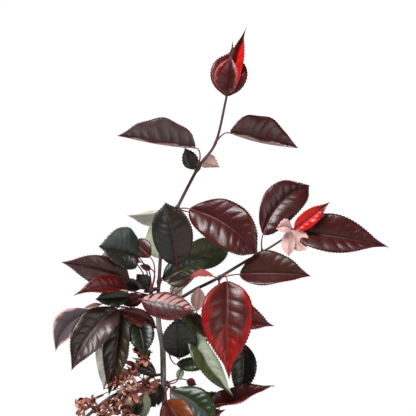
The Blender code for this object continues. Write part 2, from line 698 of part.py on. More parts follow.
def make_pot(collection, cutters):
    """The pot: a tapered wall under a turned-down rim, with drain holes round the flat middle."""
    lip = POT_RIM_RADIUS
    mouth = POT_MOUTH_RADIUS
    inner = mouth - POT_WALL
    pot = turned("pot", [
        (0, POT_WALL * 1.4), (POT_BASE_RADIUS - POT_WALL, POT_WALL * 1.4),
        (inner, POT_HEIGHT - RIM_DEPTH), (inner + 0.5 * MM, POT_HEIGHT - RIM_ROLL),
        (inner + RIM_ROLL, POT_HEIGHT), (lip - RIM_ROLL, POT_HEIGHT), (lip, POT_HEIGHT - RIM_ROLL),
        (lip, POT_HEIGHT - RIM_DEPTH), (lip - POT_WALL, POT_HEIGHT - RIM_DEPTH),
        (lip - POT_WALL, POT_HEIGHT - RIM_ROLL * 1.4), (mouth, POT_HEIGHT - RIM_ROLL * 1.4),
        (mouth, POT_HEIGHT - RIM_DEPTH), (POT_BASE_RADIUS + 1.5 * MM, 8 * MM),
        (POT_BASE_RADIUS, 1.2 * MM), (POT_BASE_RADIUS - 1.2 * MM, 0), (0, 0),
    ], collection, "pot")
    for k in range(DRAIN_COUNT):
        angle = 2 * math.pi * (k + 0.5) / DRAIN_COUNT
        bpy.ops.mesh.primitive_cylinder_add(
            vertices=16, radius=DRAIN_RADIUS, depth=4 * POT_WALL,
            location=(DRAIN_CIRCLE * math.cos(angle), DRAIN_CIRCLE * math.sin(angle), 0),
        )
        cutter = bpy.context.object
        cutter.name = f"drain cutter {k}"
        cutter.display_type = "WIRE"
        cutter.hide_render = True
        for owner in cutter.users_collection:
            owner.objects.unlink(cutter)
        cutters.objects.link(cutter)
    drains = pot.modifiers.new("drains", "BOOLEAN")
    drains.operation = "DIFFERENCE"
    drains.solver = "EXACT"
    drains.operand_type = "COLLECTION"
    drains.collection = cutters
    return pot


def make_mix(collection):
    """The potting mix: it fills the pot to a low mound, clear of the wall and floor by the gap."""
    floor = POT_WALL * 1.4 + GAP
    slope = (POT_MOUTH_RADIUS - POT_BASE_RADIUS) / (POT_HEIGHT - RIM_DEPTH)
    foot = POT_BASE_RADIUS - POT_WALL - 1.2 * MM
    edge = foot + slope * MIX_HEIGHT * 0.97 - GAP
    return turned("potting_mix", [
        (0, MIX_HEIGHT + MIX_MOUND), (MIX_COLLAR, MIX_HEIGHT + MIX_MOUND),
        (MIX_COLLAR * 4, MIX_HEIGHT + MIX_MOUND * 0.4), (edge - 4 * MM, MIX_HEIGHT - 1.5 * MM),
        (edge, MIX_HEIGHT - 4 * MM), (foot, floor), (0, floor),
    ], collection, "mix")


def main():
    clear_scene()
    plant = make_collection("potted royalty crabapple")
    cutters = make_collection("cutters", helper=True)
    rng = random.Random(SEED)
    make_pot(plant, cutters)
    make_mix(plant)
    centres, radii = stations_of(TRUNK)
    centres[0].z = MIX_HEIGHT + MIX_MOUND + GAP
    trunk = grow_limb("trunk", centres, radii, plant, "bark", level_ends=True)
    limbs = {"trunk": trunk}
    for name, rows, down, look in (
        ("right_bough", RIGHT_BOUGH, RIGHT_BOUGH_DOWN, "bough"),
        ("low_bough", LOW_BOUGH, LOW_BOUGH_DOWN, "bark"),
    ):
        centres, radii = seated(trunk, down, *stations_of(rows))
        limbs[name] = grow_limb(name, centres, radii, plant, look)
    taken = [centre for centres, _ in limbs.values() for centre in centres]
    shadows = []
    for name, shoot in SHOOTS.items():
        grow_shoot(name, shoot, limbs, rng, plant, taken, shadows)
    for name, row in HIDDEN_SHOOTS.items():
        grow_hidden(name, row, trunk, rng, plant, taken, shadows)


main()
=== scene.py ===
"""Looks of the potted royalty crabapple: leaves, stalks, bark, dried blossom, pot and potting mix.

Run as a script, it dresses the loaded frame. Each mass of leaves grows again by the same readings
and the same seeded rule as its solid, with fine blades, stalks and buds. Sizes are in metres.
"""

import math
import random

import bmesh
import bpy
import numpy as np
from bpy.props import FloatProperty, FloatVectorProperty, IntProperty, PointerProperty
from mathutils import Matrix, Vector


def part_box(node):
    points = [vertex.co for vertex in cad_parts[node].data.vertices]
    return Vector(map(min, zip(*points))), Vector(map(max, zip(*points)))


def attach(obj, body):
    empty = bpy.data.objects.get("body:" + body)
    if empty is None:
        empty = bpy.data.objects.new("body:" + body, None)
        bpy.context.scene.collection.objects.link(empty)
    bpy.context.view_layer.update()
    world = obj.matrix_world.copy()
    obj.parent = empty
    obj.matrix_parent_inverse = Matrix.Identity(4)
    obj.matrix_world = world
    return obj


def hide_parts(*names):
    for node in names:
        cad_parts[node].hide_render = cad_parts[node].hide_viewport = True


bl_info = {
    "name": "Potted royalty crabapple",
    "version": (1, 0, 0),
    "blender": (4, 5, 0),
    "location": "View3D > Sidebar > Crabapple",
    "description": "Dresses a potted crabapple with leaves, bark, dried blossom and its pot",
    "category": "Object",
}

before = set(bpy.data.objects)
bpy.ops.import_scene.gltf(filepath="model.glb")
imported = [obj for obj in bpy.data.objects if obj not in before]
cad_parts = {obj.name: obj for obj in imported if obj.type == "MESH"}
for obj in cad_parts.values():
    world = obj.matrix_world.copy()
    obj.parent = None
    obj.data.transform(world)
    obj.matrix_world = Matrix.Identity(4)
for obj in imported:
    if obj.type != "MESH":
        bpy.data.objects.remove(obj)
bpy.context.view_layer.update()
ROOT = "root"

MM = 0.001
GAP = 0.3 * MM

# Where the photograph's readings start: its left edge and its top edge
PHOTO_LEFT = -165 * MM
PHOTO_TOP = 978 * MM
PHOTO_SIDE = 416 * MM

# Limbs: stations of (across, down, near) in millimetres on the photograph, with the radius there.
# near is towards the viewer. A bough's foot is set against the trunk this far down the photograph.
TRUNK = [
    (165, 760, 0, 7.4), (165, 748, 0, 5.6), (165, 715, 0, 4.9), (167, 640, 0, 4.4), (168, 560, 0, 3.9),
    (166, 480, 0, 3.4), (165, 416, 0, 3.0), (163.5, 385, 0, 2.9), (162.5, 347, 0, 2.8), (159, 327, 0, 2.7),
    (158, 308, 0, 2.5), (158, 296, 0, 2.3),
]
RIGHT_BOUGH = [
    (168, 311, 3, 1.8), (180, 299, 5, 1.7), (194, 290, 7, 1.6), (214, 280, 9, 1.6),
    (236, 267, 12, 1.5), (250, 258.5, 14, 1.4),
]
LOW_BOUGH = [
    (146, 385, 6, 1.9), (114, 395, 14, 1.8), (87, 416, 20, 1.6), (70, 434, 23, 1.4),
]
RIGHT_BOUGH_DOWN = 320
LOW_BOUGH_DOWN = 379

# Leaves
OUTLINE_BASE = 0.58
TAIL = 0.13
LAST_STATION = 0.94
STALK_SUNK = 0.16
GOLDEN_ANGLE = math.radians(137.5)
VIEW = Vector((0, -1, 0))

# Each shoot: the limb it grows on and how far down the photograph, or the limb's tip, the rest of its
# stem as (across, down, near, radius), then its leaves and blossoms. A leaf's values are the stem
# station it grows from, its blade's foot (across, down, near), its tip (across, down, near), its
# width, the tilt of its upper side from the viewer (0) towards the sky (90) in degrees, the fold of
# its halves in degrees, arch and sweep as parts of its length, how pointed it is, and then the tints
# of its upper half, its lower half and its underside. A blossom's are its station and its heart.
SHOOTS = {
    "leader_leaves": {
        "on": ("trunk", "tip"),
        "stem": [
            (159, 282, 0, 1.8), (161, 250, -1, 1.7), (164, 233, -2, 1.6),
            (176.5, 209, -4, 1.6), (198, 168, -6, 1.5), (215.5, 143, -6, 1.3), (225, 104, -3, 1.2),
            (227, 93, -1, 1.1),
        ],
        "leaves": [
            (8, 227, 96, -1, 231, 51, -14, 38, 0, 12, 0.02, 0, 0.6, "wine", "wine", "rose", {"rim": ("crimson", 0.8)}),
            (8, 227, 93, 2, 231, 58, 15, 27, -14, 24, 0.16, 0, 0.5, "dark wine", "wine", "rose",
             {"rim": ("rose", 0.86), "veins": "crimson"}),
            (8, 229, 88, -5, 232.6, 40, -18, 17, 10, 22, 0, 0.02, 1, "wine", "brown", "rose"),
            (8, 232, 88, -2, 246.7, 28, 3, 19, 16, 34, -0.04, -0.05, 0.9, "scarlet", "crimson", "rose",
             {"tip": ("dark wine", 0.8)}),
            (6, 230, 133, 0, 299, 147, -16, 54, 48, 46, -0.06, 0, 0.7, "dark wine", "dark wine", "pink grey"),
            (5, 195, 148, 0, 118, 135, 20, 53, 48, 44, -0.04, 0, 0.7, "mauve", "dark wine", "pink grey"),
            (5, 194, 169, -1, 185, 148, 5, 17, 0, 18, 0, 0, 0.7, "umber", "olive brown", "silver"),
            (5, 201, 162, -10, 220, 167, -22, 20, 150, 30, 0.05, 0, 0.8, "brown", "brown", "blush"),
            (4, 190, 209, 4, 257, 254, 30, 48, 8, 12, 0.04, 0.08, 0.5, "dark wine", "dark wine", "pink grey",
             {"rim": ("red brown", 0.86)}),
            (4, 172, 211, -10, 127, 216, -30, 34, 205, 56, 0, 0, 0.7, "slate green", "olive brown", "silver"),
            (2, 161, 258, -12, 150, 225, -24, 24, 175, 20, 0, 0, 0.6, "olive", "olive", "sage"),
            (1, 163, 280, -5, 214, 260, -18, 30, 20, 14, 0.04, 0.03, 0.7, "dark green", "moss", "sage"),
            (1, 184, 262, -22, 232, 247, -44, 34, 14, 16, 0.05, 0, 0.7, "olive", "moss", "sage"),
            (4, 192, 213, -10, 238, 236, -56, 32, 150, 20, 0.06, 0, 0.6, "dark wine", "umber", "pink grey"),
            (3, 168, 246, -14, 173, 213, -58, 30, 140, 20, 0.06, 0, 0.6, "umber", "dark green", "sage"),
        ],
    },
    "upper_left_leaves": {
        "on": ("trunk", 305),
        "stem": [(152.4, 296, 3, 1.4), (151, 290, 5, 1.3)],
        "leaves": [
            (2, 138, 257, 2, 100, 246, 30, 48, 24, 24, 0.1, 0, 0.5, "slate green", "charcoal", "sage"),
            (2, 150, 257, -3, 133, 241, -16, 21, 10, 20, 0.05, 0, 0.6, "brown", "brown", "pink grey"),
            (2, 151, 269, 8, 140, 265, 12, 7, 0, 20, 0, 0, 0.7, "brown", "brown", "brown"),
            (2, 141, 262, 7, 129, 258, 9, 5, 10, 10, 0, 0, 0.7, "rose", "rose", "rose"),
            (2, 129, 279, 14, 62.6, 261.5, 38, 33, 12, 20, 0.04, 0, 0.75, "brown", "mauve", "pink grey"),
            (2, 148, 288, 11, 137, 274, 16, 17, 10, 24, 0.1, 0, 0.6, "charcoal", "charcoal", "sage"),
            (1, 128, 290, 18, 75, 294, 48, 28, 40, 34, 0.1, 0, 0.8, "crimson", "crimson", "rose"),
            (1, 131, 296, 12, 96, 299, 20, 19, 8, 14, 0.05, 0, 0.6, "moss", "dark green", "sage"),
            (1, 143, 298, 10, 119, 302, 14, 15, 0, 12, 0, 0, 0.7, "red brown", "red brown", "rose"),
            (2, 126, 286, -6, 102, 283, -22, 13, 10, 12, 0.05, 0, 0.6, "slate green", "slate green", "sage"),
            (1, 101, 304, 8, 83, 308.5, 9, 6, 20, 20, 0, 0, 0.8, "pink grey", "pink grey", "pink grey"),
            (2, 141, 288, 3, 122, 281, 5, 13, 0, 14, 0, 0, 0.6, "dark green", "charcoal", "sage"),
            (1, 120, 300, 6, 111, 307, 8, 10, 0, 14, 0, 0, 0.9, "crimson", "crimson", "rose"),
            (2, 133, 262, -8, 96, 262, -52, 26, 150, 20, 0.06, 0, 0.6, "dark green", "moss", "sage"),
        ],
    },
    "centre_leaves": {
        "on": ("trunk", 306),
        "stem": [(163, 301, 8, 1.4), (170, 298, 11, 1.3)],
        "leaves": [
            # This leaf's pale pink grey upper half is its own dusty pink, lightened by a painted sheen where the light
            # falls on it
            (1, 142, 299, 34, 196, 309.5, 46, 32, 25, -20, 0.03, 0, 0.65, "pink grey", "mauve", "rose",
             {"rim": ("crimson", 0.86), "veins": "wine"}),
            (2, 177, 265, 19, 166, 203, 40, 41, 0, 10, 0.06, 0.02, 0.45, "umber", "charcoal", "sage"),
            (2, 190, 277, 24, 168, 283, 28, 16, 5, 14, 0.06, 0, 0.6, "umber", "olive brown", "sage"),
            (2, 197, 310, 12, 199, 287, 14, 15, 180, 12, 0, 0, 0.6, "brown", "brown", "blush"),
            (2, 180, 298, 9, 172, 283, 8, 13, 180, 12, 0, 0, 0.6, "moss", "moss", "sage"),
        ],
    },
    "bough_spur_leaves": {
        "on": ("right_bough", 278.5),
        "stem": [(220, 277, 17, 1.3), (224, 275.5, 20, 1.2)],
        "leaves": [
            (0, 240, 274, 18, 310, 275, 36, 46, 32, 30, 0.03, 0, 0.75, "brown", "dark wine", "pink grey"),
            (2, 227, 281, 32, 229, 378, 50, 53, 2, 13, 0.05, -0.01, 0.9, "red brown", "red brown", "rose",
             {"rim": ("red", 0.8), "tip": ("red", 0.66)}),
            (1, 224, 304, 17, 275, 326, 4, 27, 5, 14, 0, -0.05, 0.9, "crimson", "crimson", "rose"),
            (0, 213, 276, 17, 189, 280, 14, 12, 50, 20, 0.22, 0, 0.6, "rose", "rose", "rose"),
            (0, 222, 292, 8, 229, 350, -40, 34, 160, 16, 0.06, 0, 0.7, "umber", "red brown", "pink grey"),
        ],
    },
    "bough_tip_leaves": {
        "on": ("right_bough", "tip"),
        "stem": [(262, 252, 16, 1.2), (281, 240, 18, 1.1), (291, 231, 19, 1.0)],
        "leaves": [
            (1, 263, 234, 14, 310, 185, -8, 39, 0, 12, 0.04, 0.12, 0.5, "dark wine", "dark wine", "rose"),
            (3, 293, 231, 18, 387, 246, 34, 44, 22, 22, 0.03, 0, 0.8, "dark wine", "dark wine", "pink grey"),
            (3, 294, 230, 26, 329, 202, 32, 18, 4, 20, 0, 0, 0.8, "scarlet", "scarlet", "rose", {"tip": ("crimson", 0.8)}),
            (3, 292, 230, 28, 276, 229, 33, 15, 10, 20, 0.1, 0.2, 0.6, "blush", "blush", "blush"),
            (3, 290, 231, 30, 305, 250, 36, 21, 170, 20, 0.1, 0, 0.6, "rose", "crimson", "blush", {"veins": "crimson"}),
            (3, 288, 231, 31, 288, 256, 36, 15, 180, 20, 0.1, 0, 0.7, "rose", "rose", "blush", {"veins": "crimson"}),
            (3, 295, 227, 24, 305, 217, 27, 3, 0, 10, 0, 0.12, 1, "crimson", "crimson", "crimson"),
            (3, 300, 234, 10, 352, 243, -34, 25, 145, 18, 0.06, 0, 0.75, "dark wine", "umber", "pink grey"),
        ],
    },
    "lower_left_leaves": {
        "on": ("trunk", 329),
        "stem": [(150, 325, 5, 1.4), (143, 321, 9, 1.3)],
        "leaves": [
            # The blush rim along this leaf's margins is a painted highlight
            (2, 93, 311, 4, 55, 352, -14, 29, 15, 24, 0.08, 0.14, 0.75, "mauve grey", "mauve grey", "blush",
             {"rim": ("blush", 0.9)}),
            (2, 117, 308, 21, 73, 368.5, 48, 38, 10, 18, 0.05, 0.07, 0.7, "umber", "mauve", "silver"),
            (1, 155, 327, 10, 117, 309, 19, 19, 0, 20, 0.04, 0.05, 0.7, "red brown", "red brown", "rose"),
            (2, 121, 310, 12, 109, 395, 28, 29, -10, 24, 0.06, 0.03, 0.75, "olive brown", "umber", "sage"),
            (2, 99, 344, 4, 103, 390, -8, 19, 180, 20, 0.03, -0.1, 0.7, "umber", "umber", "silver"),
            (2, 124, 340, 5, 117, 378, -6, 19, 178, 20, 0.03, 0.05, 0.7, "moss", "moss", "sage"),
            (1, 138, 322, 12, 145, 356, 30, 28, 0, 18, 0.05, 0.03, 0.75, "black green", "dark green", "sage"),
            (1, 150, 327, 3, 147, 316, 5, 10, 0, 14, 0, 0, 0.5, "olive", "olive", "sage"),
            (1, 136, 328, 17, 125, 339, 20, 4, 0, 10, 0, 0, 0.7, "crimson", "crimson", "crimson"),
            (1, 138, 325, -8, 108, 337, -58, 32, 150, 18, 0.06, 0, 0.7, "olive brown", "umber", "sage"),
            (2, 112, 330, -14, 83, 348, -66, 33, 140, 18, 0.06, 0, 0.75, "dark wine", "umber", "pink grey"),
            (2, 104, 318, -10, 78, 324, -60, 24, 120, 18, 0.06, 0, 0.7, "umber", "dark green", "sage"),
        ],
    },
    "lower_right_leaves": {
        "on": ("trunk", 347),
        "stem": [(168, 342, 6, 1.4), (174, 338, 9, 1.3)],
        "leaves": [
            (1, 180, 357, 17, 178, 317, 40, 35, 0, 11, 0.06, 0.02, 0.5, "dark green", "charcoal", "sage"),
            (2, 181, 315, 6, 207, 338, 5, 22, 10, 12, 0.05, 0.05, 0.7, "olive brown", "olive", "sage"),
            (2, 208, 345, 0, 194, 363, -10, 16, 180, 14, 0, 0, 0.6, "moss", "moss", "sage"),
            (1, 177, 364, 9, 211, 362, 24, 15, 10, 12, 0.04, -0.03, 0.6, "moss", "moss", "sage"),
            (2, 190, 330, 22, 234, 395, 40, 25, 15, 26, 0.05, -0.07, 0.75, "sage", "olive", "sage"),
            (2, 241, 342, 5, 237, 398, 9, 27, 0, 14, 0.05, 0.08, 0.7, "black green", "dark green", "sage"),
            (2, 184, 350, -10, 181, 324, -62, 29, 150, 18, 0.06, 0, 0.7, "dark green", "moss", "sage"),
            (2, 214, 338, -14, 227, 370, -64, 30, 140, 18, 0.06, 0, 0.75, "olive brown", "umber", "sage"),
            (2, 236, 352, -12, 239, 384, -52, 20, 160, 16, 0.06, 0, 0.7, "dark green", "dark green", "sage"),
        ],
    },
    "low_right_leaves": {
        "on": ("trunk", 382),
        "stem": [(169, 386, 6, 1.4), (173, 389, 10, 1.3)],
        "leaves": [
            (2, 209, 405, 14, 272, 383, 36, 31, 52, 30, -0.05, -0.03, 0.75, "red brown", "crimson", "rose"),
            (2, 213, 405, 9, 225, 389, 11, 11, 180, 12, 0, 0, 0.6, "olive", "olive", "cream"),
            (2, 217, 405, 4, 205, 392, 5, 18, 0, 12, 0, 0, 0.7, "moss", "dark green", "sage"),
            (2, 171, 391, 15, 216, 425, 34, 33, 15, 10, 0.04, 0.08, 0.6, "moss", "slate green", "sage"),
            (1, 167, 400, 22, 194, 440, 48, 36, 0, 24, 0.04, 0, 0.6, "rust", "red brown", "pink grey"),
            (0, 178, 379, 7, 182, 368, 9, 8, 0, 12, 0, 0, 0.5, "sage", "sage", "sage"),
            (0, 187, 380, 7, 197, 385, 8, 9, 0, 12, 0, 0, 0.9, "rose", "brown", "rose"),
            (2, 192, 424, 5, 226, 409, 8, 24, 10, 16, 0.04, 0, 1, "dark green", "rose", "sage"),
            (2, 183, 402, -10, 198, 414, -66, 32, 120, 18, 0.06, 0, 0.7, "dark green", "moss", "sage"),
        ],
    },
    "old_blossom": {
        "on": ("trunk", 374),
        "stem": [(152, 376, 6, 1.4), (144, 380, 14, 1.3), (132, 384, 19, 1.1)],
        "leaves": [
            (1, 156, 373, 17, 134, 364, 22, 17, 20, -16, 0.05, 0.1, 0.5, "charcoal", "charcoal", "sage"),
            (1, 156, 381, 12, 158, 406, 9, 13, 0, 14, 0.05, 0.08, 0.7, "black green", "black green", "sage"),
            (1, 147, 389, 15, 156, 407, 5, 13, 0, 14, 0, -0.1, 0.6, "brown", "brown", "pink grey"),
            (2, 141, 398, 18, 127, 419, 24, 17, 0, 12, 0, 0, 0.7, "dark green", "moss", "sage"),
            (2, 145, 392, 17, 142, 421, 16, 15, 178, 12, 0, 0, 0.7, "moss", "moss", "sage"),
        ],
        "blossoms": [
            (2, 143, 358, 16), (2, 132, 373, 26), (2, 144, 384, 28), (3, 120, 381, 26),
            (3, 130, 391, 30), (3, 117, 399, 29), (3, 127, 404, 32), (3, 86, 401, 28), (3, 105, 413, 32),
        ],
    },
    "low_bough_leaves": {
        "on": ("low_bough", "tip"),
        "stem": [(62, 441, 24, 1.2), (52, 446, 26, 1.0)],
        "leaves": [
            (2, 46, 450, 30, 14, 474, 44, 26, 30, 24, 0.08, 0, 0.75, "dark wine", "wine", "pink grey"),
            (1, 56, 440, 10, 24, 446, -20, 30, 50, 24, 0.06, 0.05, 0.7, "umber", "dark wine", "pink grey"),
            (1, 66, 452, 34, 72, 500, 56, 30, 20, 22, 0.08, 0.05, 0.75, "brown", "umber", "pink grey"),
            (2, 52, 455, 18, 42, 496, 0, 26, 30, 22, 0.08, 0.05, 0.7, "dark wine", "umber", "pink grey"),
        ],
    },
}

# Shoots that the photograph hides: they leave the trunk this far down it on this bearing, which is 0
# towards the viewer and 90 to the right. The rest is the number of leaves, the longest blade and
# how much of the way round the trunk the shoot's leaves fill, in degrees.
HIDDEN_SHOOTS = {
    "back_upper_leaves": (318, 182, 6, 66, 110),
    "low_front_leaves": (444, 12, 8, 76, 140),
    "low_left_leaves": (466, -85, 8, 74, 120),
    "low_east_leaves": (456, 88, 8, 76, 120),
    "low_back_leaves": (428, 180, 9, 76, 150),
    "foot_left_leaves": (508, -35, 6, 62, 140),
    "foot_right_leaves": (526, 130, 6, 60, 160),
}
HIDDEN_TINTS = (
    ("dark green", "moss", "sage"), ("olive brown", "umber", "sage"), ("dark wine", "umber", "pink grey"),
    ("moss", "dark green", "sage"), ("umber", "charcoal", "silver"), ("brown", "dark wine", "pink grey"),
    ("dark green", "charcoal", "sage"),
)
SPUR_LENGTH = 30 * MM
SPUR_RISE = 4 * MM
SPUR_RADII = (1.5, 1.2)
HIDDEN_TRIES = 80
HIDDEN_SPACE = 150 * MM
HIDDEN_LOWEST = 372 * MM
PHOTO_BOTTOM = 418
KEEP_CLEAR = 4.5 * MM
SEED = 9

# Dried blossom
PETALS = 5
PETAL_DRAWS = 7
PETAL_LENGTH = 11 * MM
PETAL_WIDTH = 7 * MM
CALYX_RADIUS = 1.7 * MM
PETAL_LOOKS = ("petal", "petal", "pale petal", "red petal", "husk")
HEADS = 4
HEAD_SPREAD = 8 * MM


def shade(red, green, blue):
    """A colour given in the usual 0 to 255 steps, as the linear values that a shader takes."""
    values = []
    for step in (red, green, blue):
        part = step / 255
        values.append(part / 12.92 if part <= 0.04045 else ((part + 0.055) / 1.055) ** 2.4)
    return tuple(values)


TINTS = {
    "wine": shade(88, 16, 18),
    "dark wine": shade(64, 20, 19),
    "scarlet": shade(196, 14, 8),
    "crimson": shade(84, 6, 10),
    "red": shade(136, 8, 6),
    "red brown": shade(72, 18, 12),
    "brown": shade(64, 32, 24),
    "umber": shade(40, 27, 19),
    "mauve": shade(70, 50, 50),
    "mauve grey": shade(92, 78, 84),
    "olive brown": shade(44, 36, 20),
    "olive": shade(58, 64, 34),
    "moss": shade(40, 52, 26),
    "dark green": shade(26, 34, 17),
    "black green": shade(14, 17, 11),
    "slate green": shade(62, 72, 66),
    "charcoal": shade(34, 32, 27),
    "blush": shade(205, 165, 158),
    "rose": shade(170, 76, 76),
    "pink grey": shade(178, 140, 136),
    "silver": shade(186, 184, 172),
    "sage": shade(152, 162, 138),
    "cream": shade(212, 202, 184),
    "rust": shade(112, 52, 20),
}
UNDERSIDES = ("blush", "rose", "pink grey", "silver", "sage", "cream")
RIB = "rib"
PALE_RIB = "pale rib"


def tint_key(name):
    return name.replace(" ", "_")


class CrabappleTints(bpy.types.PropertyGroup):
    """Tints of the leaves."""

    __annotations__ = {
        tint_key(name): FloatVectorProperty(
            name=name.capitalize(), description=f"Base colour of the {name} leaves", default=colour,
            min=0, max=1, size=3, subtype="COLOR",
        )
        for name, colour in TINTS.items()
    }


class CrabappleFinishes(bpy.types.PropertyGroup):
    """Colours of what isn't a leaf."""

    rib: FloatVectorProperty(
        name="Rib", description="Midribs seen from above", default=shade(62, 20, 22), size=3, subtype="COLOR")
    pale_rib: FloatVectorProperty(
        name="Pale rib", description="Midribs seen from below", default=shade(186, 132, 128), size=3,
        subtype="COLOR")
    stalk: FloatVectorProperty(
        name="Stalk", description="Leaf stalks", default=shade(120, 40, 48), size=3, subtype="COLOR")
    shoot: FloatVectorProperty(
        name="Shoot", description="Young stems", default=shade(78, 46, 54), size=3, subtype="COLOR")
    bark: FloatVectorProperty(
        name="Bark", description="Bark of the trunk", default=shade(150, 142, 137), size=3, subtype="COLOR")
    bud: FloatVectorProperty(
        name="Bud", description="Buds", default=shade(70, 34, 30), size=3, subtype="COLOR")
    petal: FloatVectorProperty(
        name="Petal", description="Dried petals", default=shade(172, 112, 94), size=3, subtype="COLOR")
    pale_petal: FloatVectorProperty(
        name="Pale petal", description="Bleached petals", default=shade(204, 164, 144), size=3,
        subtype="COLOR")
    red_petal: FloatVectorProperty(
        name="Red petal", description="Petals that kept some red", default=shade(150, 72, 68), size=3,
        subtype="COLOR")
    husk: FloatVectorProperty(
        name="Husk", description="Withered petals and calyces", default=shade(104, 58, 48), size=3,
        subtype="COLOR")
    pot: FloatVectorProperty(
        name="Pot", description="Plastic of the pot", default=shade(34, 34, 35), size=3, subtype="COLOR")
    mix: FloatVectorProperty(
        name="Mix", description="Potting mix", default=shade(58, 42, 32), size=3, subtype="COLOR")
    perlite: FloatVectorProperty(
        name="Perlite", description="Pale grains in the mix", default=shade(214, 208, 196), size=3,
        subtype="COLOR")
    floor: FloatVectorProperty(
        name="Floor", description="Floor of the studio", default=shade(232, 231, 229), size=3,
        subtype="COLOR")


class CrabappleSizes(bpy.types.PropertyGroup):
    """Sizes of the fine shapes."""

    leaf_thickness: FloatProperty(
        name="Leaf thickness", description="Thickness of a blade by its midrib", default=0.35 * MM,
        subtype="DISTANCE")
    tooth_depth: FloatProperty(
        name="Tooth depth", description="How far a margin's teeth stand out", default=0.8 * MM,
        subtype="DISTANCE")
    tooth_pitch: FloatProperty(
        name="Tooth pitch", description="Distance from tooth to tooth", default=2.6 * MM, subtype="DISTANCE")
    vein_depth: FloatProperty(
        name="Vein depth", description="How deep the side veins lie", default=0.7 * MM, subtype="DISTANCE")
    vein_pairs: IntProperty(name="Vein pairs", description="Side veins on each half of a blade", default=8)
    stalk_radius: FloatProperty(
        name="Stalk radius", description="Radius of a leaf stalk", default=0.75 * MM, subtype="DISTANCE")
    crumbs: IntProperty(name="Crumbs", description="Crumbs of bark on the potting mix", default=1500)
    grains: IntProperty(name="Grains", description="Pale grains on the potting mix", default=150)


def sizes():
    return bpy.context.scene.crabapple_sizes


def finish_colour(name):
    return tuple(getattr(bpy.context.scene.crabapple_finishes, name))


def tint_colour(name):
    return tuple(getattr(bpy.context.scene.crabapple_tints, tint_key(name)))


# Shared shader effects

def new_group(name, inputs, outputs):
    """A shader node group with named sockets: (socket type, name, default)."""
    group = bpy.data.node_groups.new(name, "ShaderNodeTree")
    for kind, label, default in inputs:
        socket = group.interface.new_socket(label, in_out="INPUT", socket_type=kind)
        socket.default_value = default
    for kind, label in outputs:
        group.interface.new_socket(label, in_out="OUTPUT", socket_type=kind)
    return group, group.nodes.new("NodeGroupInput"), group.nodes.new("NodeGroupOutput")


def add_math(tree, operation, first, second=None):
    """A math node on sockets or plain numbers."""
    node = tree.nodes.new("ShaderNodeMath")
    node.operation = operation
    for socket, value in zip(node.inputs, (first, second)):
        if value is None:
            continue
        if isinstance(value, (int, float)):
            socket.default_value = value
        else:
            tree.links.new(value, socket)
    return node.outputs[0]


def add_noise(tree, vector, scale, detail=3.0, roughness=0.5):
    """A noise texture on Object coordinates or on the vector given."""
    node = tree.nodes.new("ShaderNodeTexNoise")
    node.inputs["Detail"].default_value = detail
    node.inputs["Roughness"].default_value = roughness
    tree.links.new(vector, node.inputs["Vector"])
    if isinstance(scale, (int, float)):
        node.inputs["Scale"].default_value = scale
    else:
        tree.links.new(scale, node.inputs["Scale"])
    return node.outputs["Fac"]


def object_coordinates(tree, stretch=(1, 1, 1)):
    """Object coordinates, stretched along each axis."""
    place = tree.nodes.new("ShaderNodeTexCoord")
    mapping = tree.nodes.new("ShaderNodeMapping")
    mapping.inputs["Scale"].default_value = stretch
    tree.links.new(place.outputs["Object"], mapping.inputs["Vector"])
    return mapping.outputs["Vector"]


def mottle_group():
    """Varies a colour in soft clouds: lighter and darker by Amount, at Scale."""
    found = bpy.data.node_groups.get("mottle")
    if found:
        return found
    group, start, end = new_group("mottle", [
        ("NodeSocketColor", "Color", (1, 1, 1, 1)), ("NodeSocketFloat", "Amount", 0.3),
        ("NodeSocketFloat", "Scale", 60.0),
    ], [("NodeSocketColor", "Color")])
    cloud = add_noise(group, object_coordinates(group), start.outputs["Scale"])
    centred = add_math(group, "SUBTRACT", cloud, 0.5)
    swing = add_math(group, "MULTIPLY", centred, start.outputs["Amount"])
    level = add_math(group, "ADD", add_math(group, "MULTIPLY", swing, 4.0), 1.0)
    shaded = group.nodes.new("ShaderNodeVectorMath")
    shaded.operation = "SCALE"
    group.links.new(start.outputs["Color"], shaded.inputs[0])
    group.links.new(level, shaded.inputs["Scale"])
    group.links.new(shaded.outputs[0], end.inputs["Color"])
    return group


def grain_group():
    """A fine uneven surface: Height for a Bump, and a Mask of where it is worn smooth."""
    found = bpy.data.node_groups.get("grain")
    if found:
        return found
    group, start, end = new_group("grain", [
        ("NodeSocketFloat", "Scale", 900.0), ("NodeSocketFloat", "Wear", 0.5),
    ], [("NodeSocketFloat", "Height"), ("NodeSocketFloat", "Mask")])
    place = object_coordinates(group)
    fine = add_noise(group, place, start.outputs["Scale"], 2.0)
    broad = add_noise(group, place, 45.0, 3.0)
    group.links.new(fine, end.inputs["Height"])
    mask = add_math(group, "MULTIPLY", broad, start.outputs["Wear"])
    group.links.new(mask, end.inputs["Mask"])
    return group


def place_group(tree, group, **values):
    node = tree.nodes.new("ShaderNodeGroup")
    node.node_tree = group
    for name, value in values.items():
        node.inputs[name].default_value = value
    return node


